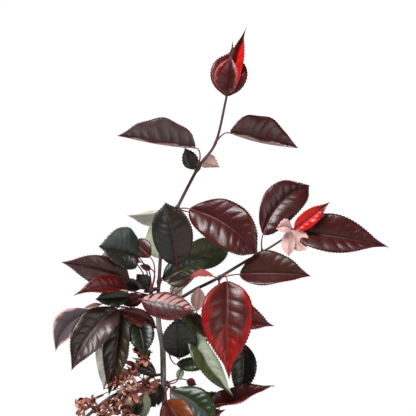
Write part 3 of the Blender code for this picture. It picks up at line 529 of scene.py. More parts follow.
def finish_material(name, colour, roughness, mottle=(0.2, 60), grain=(900, 0.15), coat=0.0, spread=0.15):
    """A Principled material: mottled colour, roughness that wanders by spread, and a grain bump."""
    found = bpy.data.materials.get(name)
    if found:
        return found
    material = bpy.data.materials.new(name)
    material.use_nodes = True
    tree = material.node_tree
    shader = tree.nodes["Principled BSDF"]
    clouds = place_group(tree, mottle_group(), Color=(*colour, 1), Amount=mottle[0], Scale=mottle[1])
    tree.links.new(clouds.outputs["Color"], shader.inputs["Base Color"])
    surface = place_group(tree, grain_group(), Scale=grain[0], Wear=spread)
    rough = add_math(tree, "ADD", surface.outputs["Mask"], roughness - spread / 2)
    tree.links.new(rough, shader.inputs["Roughness"])
    bump = tree.nodes.new("ShaderNodeBump")
    bump.inputs["Strength"].default_value = grain[1]
    bump.inputs["Distance"].default_value = 0.5 * MM
    tree.links.new(surface.outputs["Height"], bump.inputs["Height"])
    tree.links.new(bump.outputs["Normal"], shader.inputs["Normal"])
    shader.inputs["Coat Weight"].default_value = coat
    shader.inputs["Coat Roughness"].default_value = 0.3
    return material


def areole_group():
    """Height of the tiny cushions between a leaf's finest veins, on a slowly rolling surface."""
    found = bpy.data.node_groups.get("areoles")
    if found:
        return found
    group, start, end = new_group("areoles", [
        ("NodeSocketFloat", "Scale", 520.0), ("NodeSocketFloat", "Roll", 1.0),
    ], [("NodeSocketFloat", "Height")])
    place = object_coordinates(group)
    cells = group.nodes.new("ShaderNodeTexVoronoi")
    cells.feature = "DISTANCE_TO_EDGE"
    group.links.new(place, cells.inputs["Vector"])
    group.links.new(start.outputs["Scale"], cells.inputs["Scale"])
    cushion = add_math(group, "MINIMUM", add_math(group, "MULTIPLY", cells.outputs["Distance"], 2.5), 1.0)
    rolling = add_math(group, "MULTIPLY", add_noise(group, place, 190.0, 2.0), start.outputs["Roll"])
    group.links.new(add_math(group, "ADD", cushion, rolling), end.inputs["Height"])
    return group


def leaf_finish(name, colour, roughness, relief):
    """A leaf's skin: mottled colour, cushions between its finest veins and a roughness that wanders."""
    found = bpy.data.materials.get(name)
    if found:
        return found
    material = bpy.data.materials.new(name)
    material.use_nodes = True
    tree = material.node_tree
    shader = tree.nodes["Principled BSDF"]
    clouds = place_group(tree, mottle_group(), Color=(*colour, 1), Amount=0.24, Scale=75.0)
    tree.links.new(clouds.outputs["Color"], shader.inputs["Base Color"])
    surface = place_group(tree, grain_group(), Scale=1500.0, Wear=0.2)
    rough = add_math(tree, "ADD", surface.outputs["Mask"], roughness - 0.1)
    tree.links.new(rough, shader.inputs["Roughness"])
    cushions = place_group(tree, areole_group(), Scale=520.0, Roll=1.6)
    bump = tree.nodes.new("ShaderNodeBump")
    bump.inputs["Strength"].default_value = relief
    bump.inputs["Distance"].default_value = 0.6 * MM
    tree.links.new(cushions.outputs["Height"], bump.inputs["Height"])
    tree.links.new(bump.outputs["Normal"], shader.inputs["Normal"])
    shader.inputs["Specular IOR Level"].default_value = 0.4
    return material


def leaf_material(name):
    """The material of a tint, or of a midrib."""
    if name == RIB:
        return leaf_finish("midrib", finish_colour("rib"), 0.42, 0.1)
    if name == PALE_RIB:
        return leaf_finish("pale midrib", finish_colour("pale_rib"), 0.55, 0.1)
    if "|" in name:
        first, last, share = name.split("|")
        share = float(share)
        colour = [a + (b - a) * share for a, b in zip(tint_colour(first), tint_colour(last))]
    else:
        colour = tint_colour(name)
    if name.split("|")[0] in UNDERSIDES:
        return leaf_finish(f"leaf {name}", colour, 0.6, 0.2)
    return leaf_finish(f"leaf {name}", colour, 0.34, 0.14)


def bark_material(name, colour, rough, furrow):
    """Bark: a mottled colour with darker furrows that run along the limb, and a bump from them."""
    found = bpy.data.materials.get(name)
    if found:
        return found
    material = bpy.data.materials.new(name)
    material.use_nodes = True
    tree = material.node_tree
    shader = tree.nodes["Principled BSDF"]
    along = object_coordinates(tree, (1, 1, 0.16))
    furrows = add_noise(tree, along, furrow, 4.0, 0.6)
    spots = add_noise(tree, object_coordinates(tree, (1, 1, 2.4)), furrow * 0.55, 1.0)
    darker = tree.nodes.new("ShaderNodeMapRange")
    darker.inputs["From Min"].default_value = 0.35
    darker.inputs["From Max"].default_value = 0.65
    darker.inputs["To Min"].default_value = 0.45
    darker.inputs["To Max"].default_value = 1.3
    tree.links.new(furrows, darker.inputs["Value"])
    clouds = place_group(tree, mottle_group(), Color=(*colour, 1), Amount=0.25, Scale=110.0)
    tone = tree.nodes.new("ShaderNodeVectorMath")
    tone.operation = "SCALE"
    tree.links.new(clouds.outputs["Color"], tone.inputs[0])
    tree.links.new(darker.outputs["Result"], tone.inputs["Scale"])
    tree.links.new(tone.outputs[0], shader.inputs["Base Color"])
    height = add_math(tree, "ADD", furrows, add_math(tree, "MULTIPLY", spots, 0.6))
    bump = tree.nodes.new("ShaderNodeBump")
    bump.inputs["Strength"].default_value = 0.5
    bump.inputs["Distance"].default_value = 0.5 * MM
    tree.links.new(height, bump.inputs["Height"])
    tree.links.new(bump.outputs["Normal"], shader.inputs["Normal"])
    surface = place_group(tree, grain_group(), Scale=700.0, Wear=0.2)
    tree.links.new(add_math(tree, "ADD", surface.outputs["Mask"], rough), shader.inputs["Roughness"])
    return material


# Where things lie

def seen(across, down, near=0.0):
    """A reading from the photograph, in millimetres, as a point."""
    return Vector((PHOTO_LEFT + across * MM, -near * MM, PHOTO_TOP - down * MM))


def stations_of(rows):
    """Centres and radii of a limb or stem given as (across, down, near, radius)."""
    return [seen(*row[:3]) for row in rows], [row[3] * MM for row in rows]


def place_on(limb, down):
    """A limb's centre, direction and radius at a reading down the photograph."""
    centres, radii = limb
    height = seen(0, down).z
    for i in range(len(centres) - 1):
        here, ahead = centres[i], centres[i + 1]
        if min(here.z, ahead.z) <= height <= max(here.z, ahead.z):
            part = (height - here.z) / (ahead.z - here.z)
            return here.lerp(ahead, part), ahead - here, radii[i] + (radii[i + 1] - radii[i]) * part
    raise ValueError(f"the limb does not reach {down}")


def seated(limb, place, stem, thickness):
    """A stem's centres and radii, with a foot added that stands clear of its limb by the gap."""
    at_tip = place == "tip"
    if at_tip:
        centres = limb[0]
        at, along, girth = centres[-1], centres[-1] - centres[-2], 0.0
    else:
        at, along, girth = place_on(limb, place)
    heading = (stem[0] - at).normalized()
    lean = abs(heading.dot(along.normalized()))
    square = math.sqrt(1 - lean * lean)
    if at_tip:
        reach = (GAP + thickness[0] * square) / lean
    else:
        reach = (girth + GAP + thickness[0] * lean) / square
    return [at + heading * reach] + stem, [thickness[0]] + thickness


def limbs_of_plant():
    """The trunk and the boughs, each as its centres and radii."""
    centres, radii = stations_of(TRUNK)
    centres[0].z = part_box("trunk")[0].z
    trunk = (centres, radii)
    return {
        "trunk": trunk,
        "right_bough": seated(trunk, RIGHT_BOUGH_DOWN, *stations_of(RIGHT_BOUGH)),
        "low_bough": seated(trunk, LOW_BOUGH_DOWN, *stations_of(LOW_BOUGH)),
    }


# The rule of the leaves

def outline(body, point):
    """Half width of an ovate blade, as a part of its widest, at the part body of its length to the tail."""
    widest = OUTLINE_BASE / (OUTLINE_BASE + point)
    return (body / widest) ** OUTLINE_BASE * ((1 - body) / (1 - widest)) ** point


def tail(leaf):
    """The part of a blade's length that is its drawn-out point."""
    return TAIL * leaf["point"]


def leaf_frame(axis, tilt):
    """Directions across a blade and out of its upper side, for its tilt from the viewer to the sky."""
    face = (VIEW - axis * VIEW.dot(axis)).normalized()
    side = axis.cross(face)
    if side.dot(Vector((0.35, 0, 1))) < 0:
        side = -side
    normal = face * math.cos(tilt) + side * math.sin(tilt)
    across = side * math.cos(tilt) - face * math.sin(tilt)
    return across, normal


def seen_leaf(stem, row):
    """One leaf of a shoot, from its row of readings."""
    station = row[0]
    foot = seen(*row[1:4])
    tip = seen(*row[4:7])
    width, tilt, fold, arch, sweep, point = row[7:13]
    across, normal = leaf_frame((tip - foot).normalized(), math.radians(tilt))
    return {
        "root": stem[station], "foot": foot, "tip": tip, "across": across, "normal": normal,
        "width": width * MM, "fold": math.radians(fold), "arch": arch, "sweep": sweep, "point": point,
        "tints": row[13:16], "marks": row[16] if len(row) > 16 else {},
    }


def rib_point(leaf, u):
    """The midrib's point at the part u of the blade's length."""
    length = (leaf["tip"] - leaf["foot"]).length
    bow = 4 * u * (1 - u) * length
    straight = leaf["foot"].lerp(leaf["tip"], u)
    return straight + leaf["normal"] * (leaf["arch"] * bow) + leaf["across"] * (leaf["sweep"] * bow)


def section(leaf, body):
    """The midrib and the two margins at the part body of the blade's length to its tail."""
    rib = rib_point(leaf, body * (1 - tail(leaf)))
    half = leaf["width"] / 2 * outline(body, leaf["point"])
    lift = leaf["normal"] * (math.sin(leaf["fold"]) * half)
    spread = leaf["across"] * (math.cos(leaf["fold"]) * half)
    return rib, rib + lift + spread, rib + lift - spread


def stalk_path(leaf, rings=3):
    """Centres of a leaf's stalk, which leaves the stem and runs on into the midrib."""
    into = rib_point(leaf, STALK_SUNK)
    heading = (leaf["foot"] - into).normalized()
    reach = (leaf["foot"] - leaf["root"]).length
    bend = leaf["foot"] + heading * (0.4 * reach)
    path = []
    for i in range(rings):
        t = i / (rings - 1)
        path.append(leaf["root"] * (1 - t) ** 2 + bend * (2 * t * (1 - t)) + leaf["foot"] * t ** 2)
    return path + [into]


def feelers(leaf):
    """Points spread over a leaf and its stalk, for telling whether it comes near another."""
    found = stalk_path(leaf)[1:]
    for i in range(9):
        rib, one, other = section(leaf, i / 8)
        found += [rib, one, other, rib.lerp(one, 0.5), rib.lerp(other, 0.5)]
    return found


def shadow(leaf):
    """The blade's outline as the photograph shows it: (across, up) points."""
    sides = [section(leaf, i / 8)[1:] for i in range(9)]
    loop = [one for one, _ in sides] + [leaf["tip"]] + [other for _, other in reversed(sides)]
    return [(point.x, point.z) for point in loop]


def inside(point, loop):
    """Whether a point, as the photograph shows it, lies in a loop of (across, up) points."""
    found = False
    for (x1, z1), (x2, z2) in zip(loop, loop[1:] + loop[:1]):
        if (z1 > point.z) != (z2 > point.z) and point.x < x1 + (point.z - z1) / (z2 - z1) * (x2 - x1):
            found = not found
    return found


def out_of_sight(points, shadows):
    """Whether every point is below the photograph's edge or behind a leaf that it shows."""
    edge = seen(0, PHOTO_BOTTOM).z
    return all(point.z < edge or any(inside(point, loop) for loop in shadows) for point in points)


def clear_of(points, taken):
    """Whether no point comes near the points already taken."""
    gaps = np.linalg.norm(np.array(points)[:, None] - np.array(taken)[None], axis=2)
    return gaps.min() > KEEP_CLEAR


def hidden_leaf(rng, stem, k, bearing, longest, spread):
    """A leaf of a hidden spur, at the golden angle from the last, drooping and facing the sky."""
    turn = (k * GOLDEN_ANGLE) % (2 * math.pi) / (2 * math.pi) - 0.5
    heading = bearing + turn * spread
    flat = Vector((math.sin(heading), -math.cos(heading), 0))
    rise = rng.uniform(-0.5, 0.75)
    out = (flat + Vector((0, 0, rise))).normalized()
    length = longest * rng.uniform(0.78, 1.05)
    root = stem[1 + k % (len(stem) - 1)]
    foot = root + out * (rng.uniform(16, 30) * MM)
    fall = (flat + Vector((0, 0, rise - rng.uniform(0.35, 1.0)))).normalized()
    leaning = Matrix.Rotation(rng.uniform(-0.5, 0.5), 3, fall)
    across = leaning @ fall.cross(Vector((0, 0, 1))).normalized()
    return {
        "root": root, "foot": foot, "tip": foot + fall * length, "across": across,
        "normal": across.cross(fall), "width": length * rng.uniform(0.48, 0.6),
        "fold": rng.uniform(0.15, 0.4), "arch": rng.uniform(0.03, 0.09),
        "sweep": rng.uniform(-0.04, 0.04), "point": rng.uniform(0.6, 0.9),
        "tints": HIDDEN_TINTS[k % len(HIDDEN_TINTS)], "marks": {},
    }


def pass_petals(rng):
    """Draws the numbers that the rule spends on one blossom's petals."""
    for _ in range(PETALS):
        for _ in range(PETAL_DRAWS):
            rng.random()


def grow_plant(limbs):
    """Every shoot, as its stem's centres and radii, its leaves and its blossoms (root, heart)."""
    rng = random.Random(SEED)
    taken = [centre for centres, _ in limbs.values() for centre in centres]
    shadows = []
    grown = {}
    for name, shoot in SHOOTS.items():
        limb, place = shoot["on"]
        centres, radii = seated(limbs[limb], place, *stations_of(shoot["stem"]))
        leaves = [seen_leaf(centres, row) for row in shoot["leaves"]]
        for leaf in leaves:
            taken += feelers(leaf)
            shadows.append(shadow(leaf))
        blossoms = []
        for station, *place in shoot.get("blossoms", []):
            heart = seen(*place)
            blossoms.append((centres[station], heart))
            pass_petals(rng)
            taken += [heart, heart.lerp(centres[station], 0.5)]
        taken += centres
        grown[name] = (centres, radii, leaves, blossoms)
    for name, row in HIDDEN_SHOOTS.items():
        grown[name] = (*grow_hidden(row, limbs["trunk"], rng, taken, shadows), [])
    return grown


def grow_hidden(row, trunk, rng, taken, shadows):
    """A shoot that the photograph hides: its stem's centres and radii, and its leaves."""
    down, bearing, count, longest, spread = row
    bearing = math.radians(bearing)
    centre = place_on(trunk, down)[0]
    out = Vector((math.sin(bearing), -math.cos(bearing), 0))
    spur = [centre + out * SPUR_LENGTH * 0.5, centre + out * SPUR_LENGTH + Vector((0, 0, SPUR_RISE))]
    centres, radii = seated(trunk, down, spur, [radius * MM for radius in SPUR_RADII])
    leaves = []
    for k in range(HIDDEN_TRIES):
        leaf = hidden_leaf(rng, centres, k, bearing, longest * MM, math.radians(spread))
        points = feelers(leaf)
        reach = max(math.hypot(point.x, point.y) for point in points)
        lowest = min(point.z for point in points)
        if reach > HIDDEN_SPACE or lowest < HIDDEN_LOWEST:
            continue
        if not (clear_of(points, taken) and out_of_sight(points, shadows)):
            continue
        leaves.append(leaf)
        taken += points
        if len(leaves) == count:
            break
    taken += centres
    return centres, radii, leaves


# Fine meshes

HALF_COLUMNS = (0.1, 0.24, 0.4, 0.56, 0.72, 0.87, 1.0)
RIB_HALF = 0.42 * MM
MARGIN_WAVE = 0.018
CAMBER = 0.36
TIP_CURL = 0.22
VEIN_SLANT = 0.15
RIPPLE = 0.3
BLEND_STEPS = 3
BLEND_REACH = 0.045
TOOTH_REACH = 0.6


class Heap:
    """Points, faces and the material name of each face, gathered for one joined piece."""

    def __init__(self):
        self.points = []
        self.faces = []
        self.looks = []
        self.count = 0

    def add(self, points, faces, looks):
        self.points.append(np.asarray(points, float))
        self.faces.append(np.asarray(faces, int) + self.count)
        self.looks += list(looks)
        self.count += len(points)


def make_piece(name, heap, material_of, replaced=None):
    """Joins a heap into one smooth piece that rides with the plant."""
    names = sorted(set(heap.looks))
    mesh = bpy.data.meshes.new(name)
    points = np.concatenate(heap.points)
    faces = [face for block in heap.faces for face in block.tolist()]
    mesh.from_pydata(points.tolist(), [], faces)
    for look in names:
        mesh.materials.append(material_of(look))
    order = {look: i for i, look in enumerate(names)}
    mesh.polygons.foreach_set("material_index", [order[look] for look in heap.looks])
    mesh.shade_smooth()
    piece = bpy.data.objects.new(name, mesh)
    bpy.context.scene.collection.objects.link(piece)
    settle(piece, replaced)
    return piece


def settle(piece, replaced=None):
    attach(piece, ROOT)
    if replaced:
        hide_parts(replaced)


def grid_faces(rows, columns, start=0, flip=False):
    """Quads of a grid of points laid row by row."""
    i, j = np.meshgrid(np.arange(rows - 1), np.arange(columns - 1), indexing="ij")
    corner = (start + i * columns + j).ravel()
    quads = np.stack([corner, corner + 1, corner + columns + 1, corner + columns], axis=1)
    return quads[:, ::-1] if flip else quads


def blade_outline(leaf, u):
    """Half widths at the parts u of a blade's length, with the drawn-out point past the last station."""
    point = leaf["point"]
    end = LAST_STATION * (1 - tail(leaf))
    body = np.clip(u / (1 - tail(leaf)), 0, LAST_STATION)
    width = outline(body, point)
    past = np.clip((1 - u) / (1 - end), 0, 1) ** 1.2
    return leaf["width"] / 2 * np.where(u > end, outline(LAST_STATION, point) * past, width)


def blade_grid(leaf):
    """A blade's length, its rows, and at each point the part of the length, the half width there
    and the signed part of that half width. The rows run out along the side veins."""
    length = (leaf["tip"] - leaf["foot"]).length
    teeth = int(np.clip(length / sizes().tooth_pitch, 6, 34))
    rows = np.linspace(0, 1, 2 * teeth + 1)[:, None]
    side = np.array((0.0,) + HALF_COLUMNS)
    slant = VEIN_SLANT * side * (0.75 + 0.45 * side)
    u = rows + slant * 4 * rows * (1 - rows)
    half = blade_outline(leaf, u)
    half[0] = half[1] * 0.35
    half[-1] = 0.12 * MM
    rib = np.minimum(np.clip(RIB_HALF * (1.15 - 0.8 * rows), 0.1 * MM, None), half[:, :1] * 0.4)
    v = np.maximum(side + 0 * rows, rib / half)
    both = [np.concatenate([part[:, ::-1], part], axis=1) for part in (u, half)]
    return length, rows, *both, np.concatenate([-v[:, ::-1], v], axis=1)


def vein_distance(rows, v, rng):
    """How far each point is from a side vein: 0 on it, 1 midway between two."""
    start = np.where(v > 0, rng.uniform(0, 1), rng.uniform(0, 1))
    uneven = 0.12 * np.sin(2 * math.pi * (2.3 * rows + start))
    phase = sizes().vein_pairs * rows + start + uneven
    return np.abs(phase - np.round(phase)) * 2


def blade_lift(leaf, length, u, half, v, vein, rng):
    """How far each point stands out of a flat blade: fold, veins, waves, roundness and curl."""
    side = np.abs(v)
    depth = sizes().vein_depth * min(1.0, length / (80 * MM))
    quilt = depth * (1 - np.exp(-(vein / 0.35) ** 2)) * (1 - side ** 3) * np.minimum(1, side * 4)
    ripple = np.sin(2 * math.pi * (3.3 * side + 4.1 * u + rng.uniform(0, 1)))
    quilt += RIPPLE * depth * ripple * side * (1 - side ** 4)
    waves = rng.uniform(1.4, 3.2)
    turn = np.where(v > 0, rng.uniform(0, 6.3), rng.uniform(0, 6.3))
    wave = MARGIN_WAVE * length * np.sin(2 * math.pi * waves * u + turn) * side ** 2.2
    wave *= np.minimum(1, 4 * half / leaf["width"])
    camber = CAMBER * half * side * (1 - side)
    curl = -TIP_CURL * length * np.clip(u - 0.72, 0, None) ** 2
    return math.sin(leaf["fold"]) * np.abs(half * v) + quilt + wave + camber + curl


def blend(looks, part, start, tint):
    """Brings a tint in over the faces where part is past start, by steps of mixed tints before it."""
    for k in range(BLEND_STEPS, 0, -1):
        here = (part > start - k * BLEND_REACH) & (part <= start - (k - 1) * BLEND_REACH)
        share = 1 - k / (BLEND_STEPS + 1)
        for old in set(looks[here]):
            if old != tint and "|" not in old:
                looks[here & (looks == old)] = f"{old}|{tint}|{share:.2f}"
    looks[part > start] = tint


def blade_looks(leaf, u, v, vein, rng):
    """The tints of a blade's upper and under faces, row by row: its halves, rim, tip and veins."""
    def middle(value):
        return (value[1:, 1:] + value[:-1, :-1] + value[1:, :-1] + value[:-1, 1:]) / 4

    along, place, near = middle(u), middle(v), middle(vein)
    side = np.abs(place)
    turns = rng.uniform(0, 1, 3)
    patch = np.sin(2 * math.pi * (2.7 * along + turns[0])) * np.sin(2 * math.pi * (1.1 * place + turns[1]))
    patch += 0.5 * np.sin(2 * math.pi * (5.1 * along + 2.3 * place + turns[2]))
    stray = 0.09 * patch
    up, down, under = leaf["tints"]
    upper = np.full(side.shape, down, object)
    lower = np.full(side.shape, under, object)
    if up != down:
        blend(upper, place + stray, 0.12, up)
    marks = leaf["marks"]
    for name, part in (("rim", side), ("tip", along), ("foot", 1 - along)):
        if name in marks:
            tint, start = marks[name]
            blend(upper, part + stray, start, tint)
    if "veins" in marks:
        striped = (near < 0.3) & (side < 0.9)
        upper[striped] = marks["veins"]
        lower[striped] = marks["veins"]
    centre = v.shape[1] // 2 - 1
    upper[:, centre] = marks.get("rib", RIB)
    lower[:, centre] = PALE_RIB
    return list(upper.ravel()), list(lower.ravel())


def add_blade(heap, leaf, rng):
    """A leaf's blade: two skins with sunken veins, a midrib, a wavy toothed margin and a curled tip."""
    length, rows, u, half, v = blade_grid(leaf)
    count = v.shape[1]
    spread = half * v
    tooth = np.where(np.arange(len(rows)) % 2 == 1, 1.0, -1.0)[:, None] * sizes().tooth_depth / 2
    tooth = tooth * np.minimum(1, half[:, [0, -1]] / (6 * MM))
    tooth[[0, -1]] = 0
    spread[:, [0, -1]] += tooth * (-1, 1)
    ahead = np.zeros(v.shape)
    ahead[1:-1:2, [0, -1]] = TOOTH_REACH * length / len(rows)
    vein = vein_distance(rows, v, rng)
    lift = blade_lift(leaf, length, u, half, v, vein, rng)
    foot, tip = np.array(leaf["foot"]), np.array(leaf["tip"])
    normal, across = np.array(leaf["normal"]), np.array(leaf["across"])
    bow = (4 * u * (1 - u) * length)[..., None]
    flat = foot + (tip - foot) * u[..., None] + bow * (leaf["arch"] * normal + leaf["sweep"] * across)
    flat += math.cos(leaf["fold"]) * spread[..., None] * across
    flat += ahead[..., None] * (tip - foot) / length
    middle = np.exp(-(spread / (1.3 * MM)) ** 2)
    upper = lift - 0.3 * MM * middle
    lower = lift - sizes().leaf_thickness * (1 - 0.5 * np.abs(v)) - 0.45 * MM * middle * (1 - 0.7 * u)
    points = np.concatenate([(flat + height[..., None] * normal).reshape(-1, 3) for height in (upper, lower)])
    flip = np.dot(np.cross(across, tip - foot), normal) < 0
    size = len(rows) * count
    faces = [grid_faces(len(rows), count, flip=flip), grid_faces(len(rows), count, size, flip=not flip)]
    upper_looks, lower_looks = blade_looks(leaf, u, v, vein, rng)
    edge = leaf["marks"].get("rim", (None,))[0]
    rim, rim_looks = rim_faces(len(rows), count, flip, edge or leaf["tints"][0], edge or leaf["tints"][1])
    heap.add(points, np.concatenate([*faces, rim]), upper_looks + lower_looks + rim_looks)


def rim_faces(rows, count, flip, up, down):
    """Quads that close a blade's two skins along its margins, foot and tip."""
    loop = [i * count + count - 1 for i in range(rows)]
    loop += [(rows - 1) * count + j for j in range(count - 2, -1, -1)]
    loop += [i * count for i in range(rows - 2, -1, -1)]
    loop += list(range(1, count - 1))
    faces = []
    looks = []
    for here, ahead in zip(loop, loop[1:] + loop[:1]):
        quad = (here, ahead, ahead + rows * count, here + rows * count)
        faces.append(quad if flip else quad[::-1])
        looks.append(down if here % count < count // 2 else up)
    return np.array(faces), looks


def smooth_line(points, steps):
    """A smooth line through points (Catmull-Rom), with this many steps from each to the next."""
    line = [np.array(point, float) for point in points]
    line = [2 * line[0] - line[1]] + line + [2 * line[-1] - line[-2]]
    found = []
    for i in range(1, len(line) - 2):
        a, b, c, d = line[i - 1:i + 3]
        for k in range(steps):
            t = k / steps
            found.append(0.5 * (2 * b + (c - a) * t + (2 * a - 5 * b + 4 * c - d) * t * t
                                + (3 * b - a - 3 * c + d) * t ** 3))
    found.append(line[-2])
    return np.array(found)


def rings_round(centres, sides):
    """Directions across and along a line: for each centre, its tangent and two directions square to it."""
    along = np.gradient(centres, axis=0)
    along /= np.linalg.norm(along, axis=1)[:, None]
    side = np.array(Vector(along[0]).orthogonal().normalized())
    sides_of = []
    for direction in along:
        side = side - direction * np.dot(side, direction)
        side /= np.linalg.norm(side)
        sides_of.append(side)
    one = np.array(sides_of)
    other = np.cross(along, one)
    angle = np.linspace(0, 2 * math.pi, sides, endpoint=False)
    return one[:, None] * np.cos(angle)[None, :, None] + other[:, None] * np.sin(angle)[None, :, None]


def add_tube(heap, centres, radii, sides, look):
    """A closed tube with a rounded far end. radii is one number a ring, or one a point."""
    centres = np.asarray(centres, float)
    radii = np.asarray(radii, float)
    if radii.ndim == 1:
        radii = np.repeat(radii[:, None], sides, axis=1)
    rays = rings_round(centres, sides)
    rings = centres[:, None] + rays * radii[..., None]
    rows = len(centres)
    end = centres[-1] + (centres[-1] - centres[-2]) / np.linalg.norm(centres[-1] - centres[-2]) * radii[-1, 0] * 0.5
    points = np.concatenate([rings.reshape(-1, 3), [centres[0], end]])
    faces = []
    for i in range(rows - 1):
        for k in range(sides):
            nxt = (k + 1) % sides
            faces.append((i * sides + k, i * sides + nxt, (i + 1) * sides + nxt, (i + 1) * sides + k))
    last = (rows - 1) * sides
    foot = rows * sides
    for k in range(0, sides, 2):
        mid = (k + 1) % sides
        nxt = (k + 2) % sides
        faces.append((foot, nxt, mid, k))
        faces.append((foot + 1, last + k, last + mid, last + nxt))
    heap.add(points, faces, [look] * len(faces))


def add_bud(heap, foot, direction, length, look):
    """A pointed bud on a stem."""
    profile = ((0.0, 0.30), (0.25, 0.42), (0.55, 0.36), (0.85, 0.16), (1.0, 0.04))
    centres = [np.array(foot) + np.array(direction) * length * part for part, _ in profile]
    add_tube(heap, centres, [length * radius for _, radius in profile], 8, look)


def add_stem(heap, centres, radii, leaves, look):
    """A shoot's stem: a smooth tube that swells a little where a leaf or a bud stands."""
    steps = 8
    line = smooth_line(centres, steps)
    girth = np.interp(np.arange(len(line)), np.arange(len(radii)) * steps, radii)
    for leaf in leaves:
        near = np.linalg.norm(line - np.array(leaf["root"]), axis=1)
        girth = girth * (1 + 0.22 * np.exp(-(near / (1.6 * MM)) ** 2))
    girth[:2] = np.minimum(girth[:2], radii[0])
    add_tube(heap, line, girth, 14, look)


def add_stalk(heap, leaf, look):
    """A leaf's stalk, swollen at its foot, that runs on under the midrib."""
    path = stalk_path(leaf, 12)
    radius = sizes().stalk_radius
    taper = [radius * (1.0 + 0.55 * math.exp(-i / 1.2) - 0.02 * i) for i in range(len(path))]
    taper[-1] = radius * 0.35
    add_tube(heap, path, taper, 10, look)


def add_petal(heap, rng, foot, out, axis, length, width, bend, look):
    """A shrivelled petal: a strip that curls away from its foot, cupped and crumpled."""
    rows, count = 9, 5
    t = np.linspace(0, 1, rows)
    v = np.linspace(-1, 1, count)
    turn = (bend * t ** 1.3)[:, None]
    out, axis = np.array(out), np.array(axis)
    heading = out * np.cos(turn) + axis * np.sin(turn)
    facing = axis * np.cos(turn) - out * np.sin(turn)
    line = np.array(foot) + np.cumsum(heading, axis=0) * length / rows
    half = width / 2 * np.sin(math.pi * (0.12 + 0.8 * t)) ** 0.7
    cup = rng.uniform(0.2, 0.9) * half[:, None] * v ** 2 + rng.uniform(-0.05, 0.05, (rows, count)) * length
    across = np.cross(axis, out)
    upper = line[:, None] + (half[:, None] * v)[..., None] * across + cup[..., None] * facing[:, None]
    lower = upper - 0.22 * MM * facing[:, None]
    points = np.concatenate([upper.reshape(-1, 3), lower.reshape(-1, 3)])
    rim, rim_looks = rim_faces(rows, count, False, look, look)
    faces = np.concatenate([grid_faces(rows, count), grid_faces(rows, count, rows * count, flip=True), rim])
    heap.add(points, faces, [look] * (len(faces) - len(rim_looks)) + rim_looks)


def add_head(heap, rng, root, heart):
    """A withered flower: its stalk, calyx, petals and stamens."""
    axis = (heart - root).normalized()
    stalk = smooth_line([root, root.lerp(heart, 0.5) + Vector((0, 0, 1.5 * MM)), heart], 6)
    add_tube(heap, stalk, np.linspace(0.5, 0.4, len(stalk)) * MM, 8, "husk")
    add_bud(heap, heart - axis * 2.6 * MM, axis, 5.2 * MM, "husk")
    side = axis.orthogonal().normalized()
    for k in range(PETALS + 2):
        spin = Matrix.Rotation(2 * math.pi * k / PETALS + rng.uniform(-0.4, 0.4), 3, axis)
        out = (spin @ side + axis * rng.uniform(-0.5, 0.9)).normalized()
        up = (axis - out * axis.dot(out)).normalized()
        length = PETAL_LENGTH * rng.uniform(0.7, 1.25)
        width = PETAL_WIDTH * rng.uniform(0.4, 0.85)
        look = PETAL_LOOKS[rng.integers(len(PETAL_LOOKS))]
        add_petal(heap, rng, heart, out, up, length, width, rng.uniform(-1.6, 2.4), look)
    for k in range(6):
        spin = Matrix.Rotation(k * GOLDEN_ANGLE, 3, axis)
        out = (spin @ side * rng.uniform(0.2, 0.9) + axis).normalized()
        far = heart + out * rng.uniform(4, 7) * MM
        radii = [0.16 * MM, 0.14 * MM, 0.22 * MM]
        add_tube(heap, [heart, heart.lerp(far, 0.5), far], radii, 6, "husk")


# Materials of the wood and the blossom

def wood_material(name):
    if name == "stalk":
        return finish_material("stalk", finish_colour("stalk"), 0.42, mottle=(0.3, 160))
    if name == "shoot":
        return finish_material("shoot bark", finish_colour("shoot"), 0.5, mottle=(0.3, 200))
    if name == "bud":
        return finish_material("bud", finish_colour("bud"), 0.55)
    if "petal" in name:
        return finish_material("dried " + name, finish_colour(name.replace(" ", "_")), 0.75, mottle=(0.35, 300))
    return finish_material("husk", finish_colour("husk"), 0.85, mottle=(0.35, 300))


def trunk_material(name):
    return bark_material("trunk bark", finish_colour("bark"), 0.55, 420.0)


def bough_material(name):
    return bark_material("bough bark", finish_colour("shoot"), 0.42, 480.0)


def clear_selection():
    if bpy.context.object and bpy.context.object.mode != "OBJECT":
        bpy.ops.object.mode_set(mode="OBJECT")
    bpy.ops.object.select_all(action="DESELECT")


class CRABAPPLE_OT_leaves(bpy.types.Operator):
    """Grow every mass's blades, stems, stalks and buds"""

    bl_idname = "crabapple.leaves"
    bl_label = "Leaves and shoots"

    def execute(self, context):
        grown = grow_plant(limbs_of_plant())
        rng = np.random.default_rng(SEED + 1)
        for name, (centres, radii, leaves, _) in grown.items():
            blades = Heap()
            twigs = Heap()
            for leaf in leaves:
                add_blade(blades, leaf, rng)
                add_stalk(twigs, leaf, "stalk")
            add_stem(twigs, centres, radii, leaves, "shoot")
            for leaf in leaves[::2]:
                heading = (stalk_path(leaf, 8)[1] - leaf["root"]).normalized()
                bud = (heading + Vector((0, 0, 0.9))).normalized()
                add_bud(twigs, leaf["root"] + bud * 1.2 * MM, bud, 3.2 * MM, "bud")
            label = name if name.endswith("leaves") else name + "_leaves"
            make_piece(label + "_blades", blades, leaf_material, name if label == name else None)
            make_piece(label + "_twigs", twigs, wood_material)
        return {"FINISHED"}


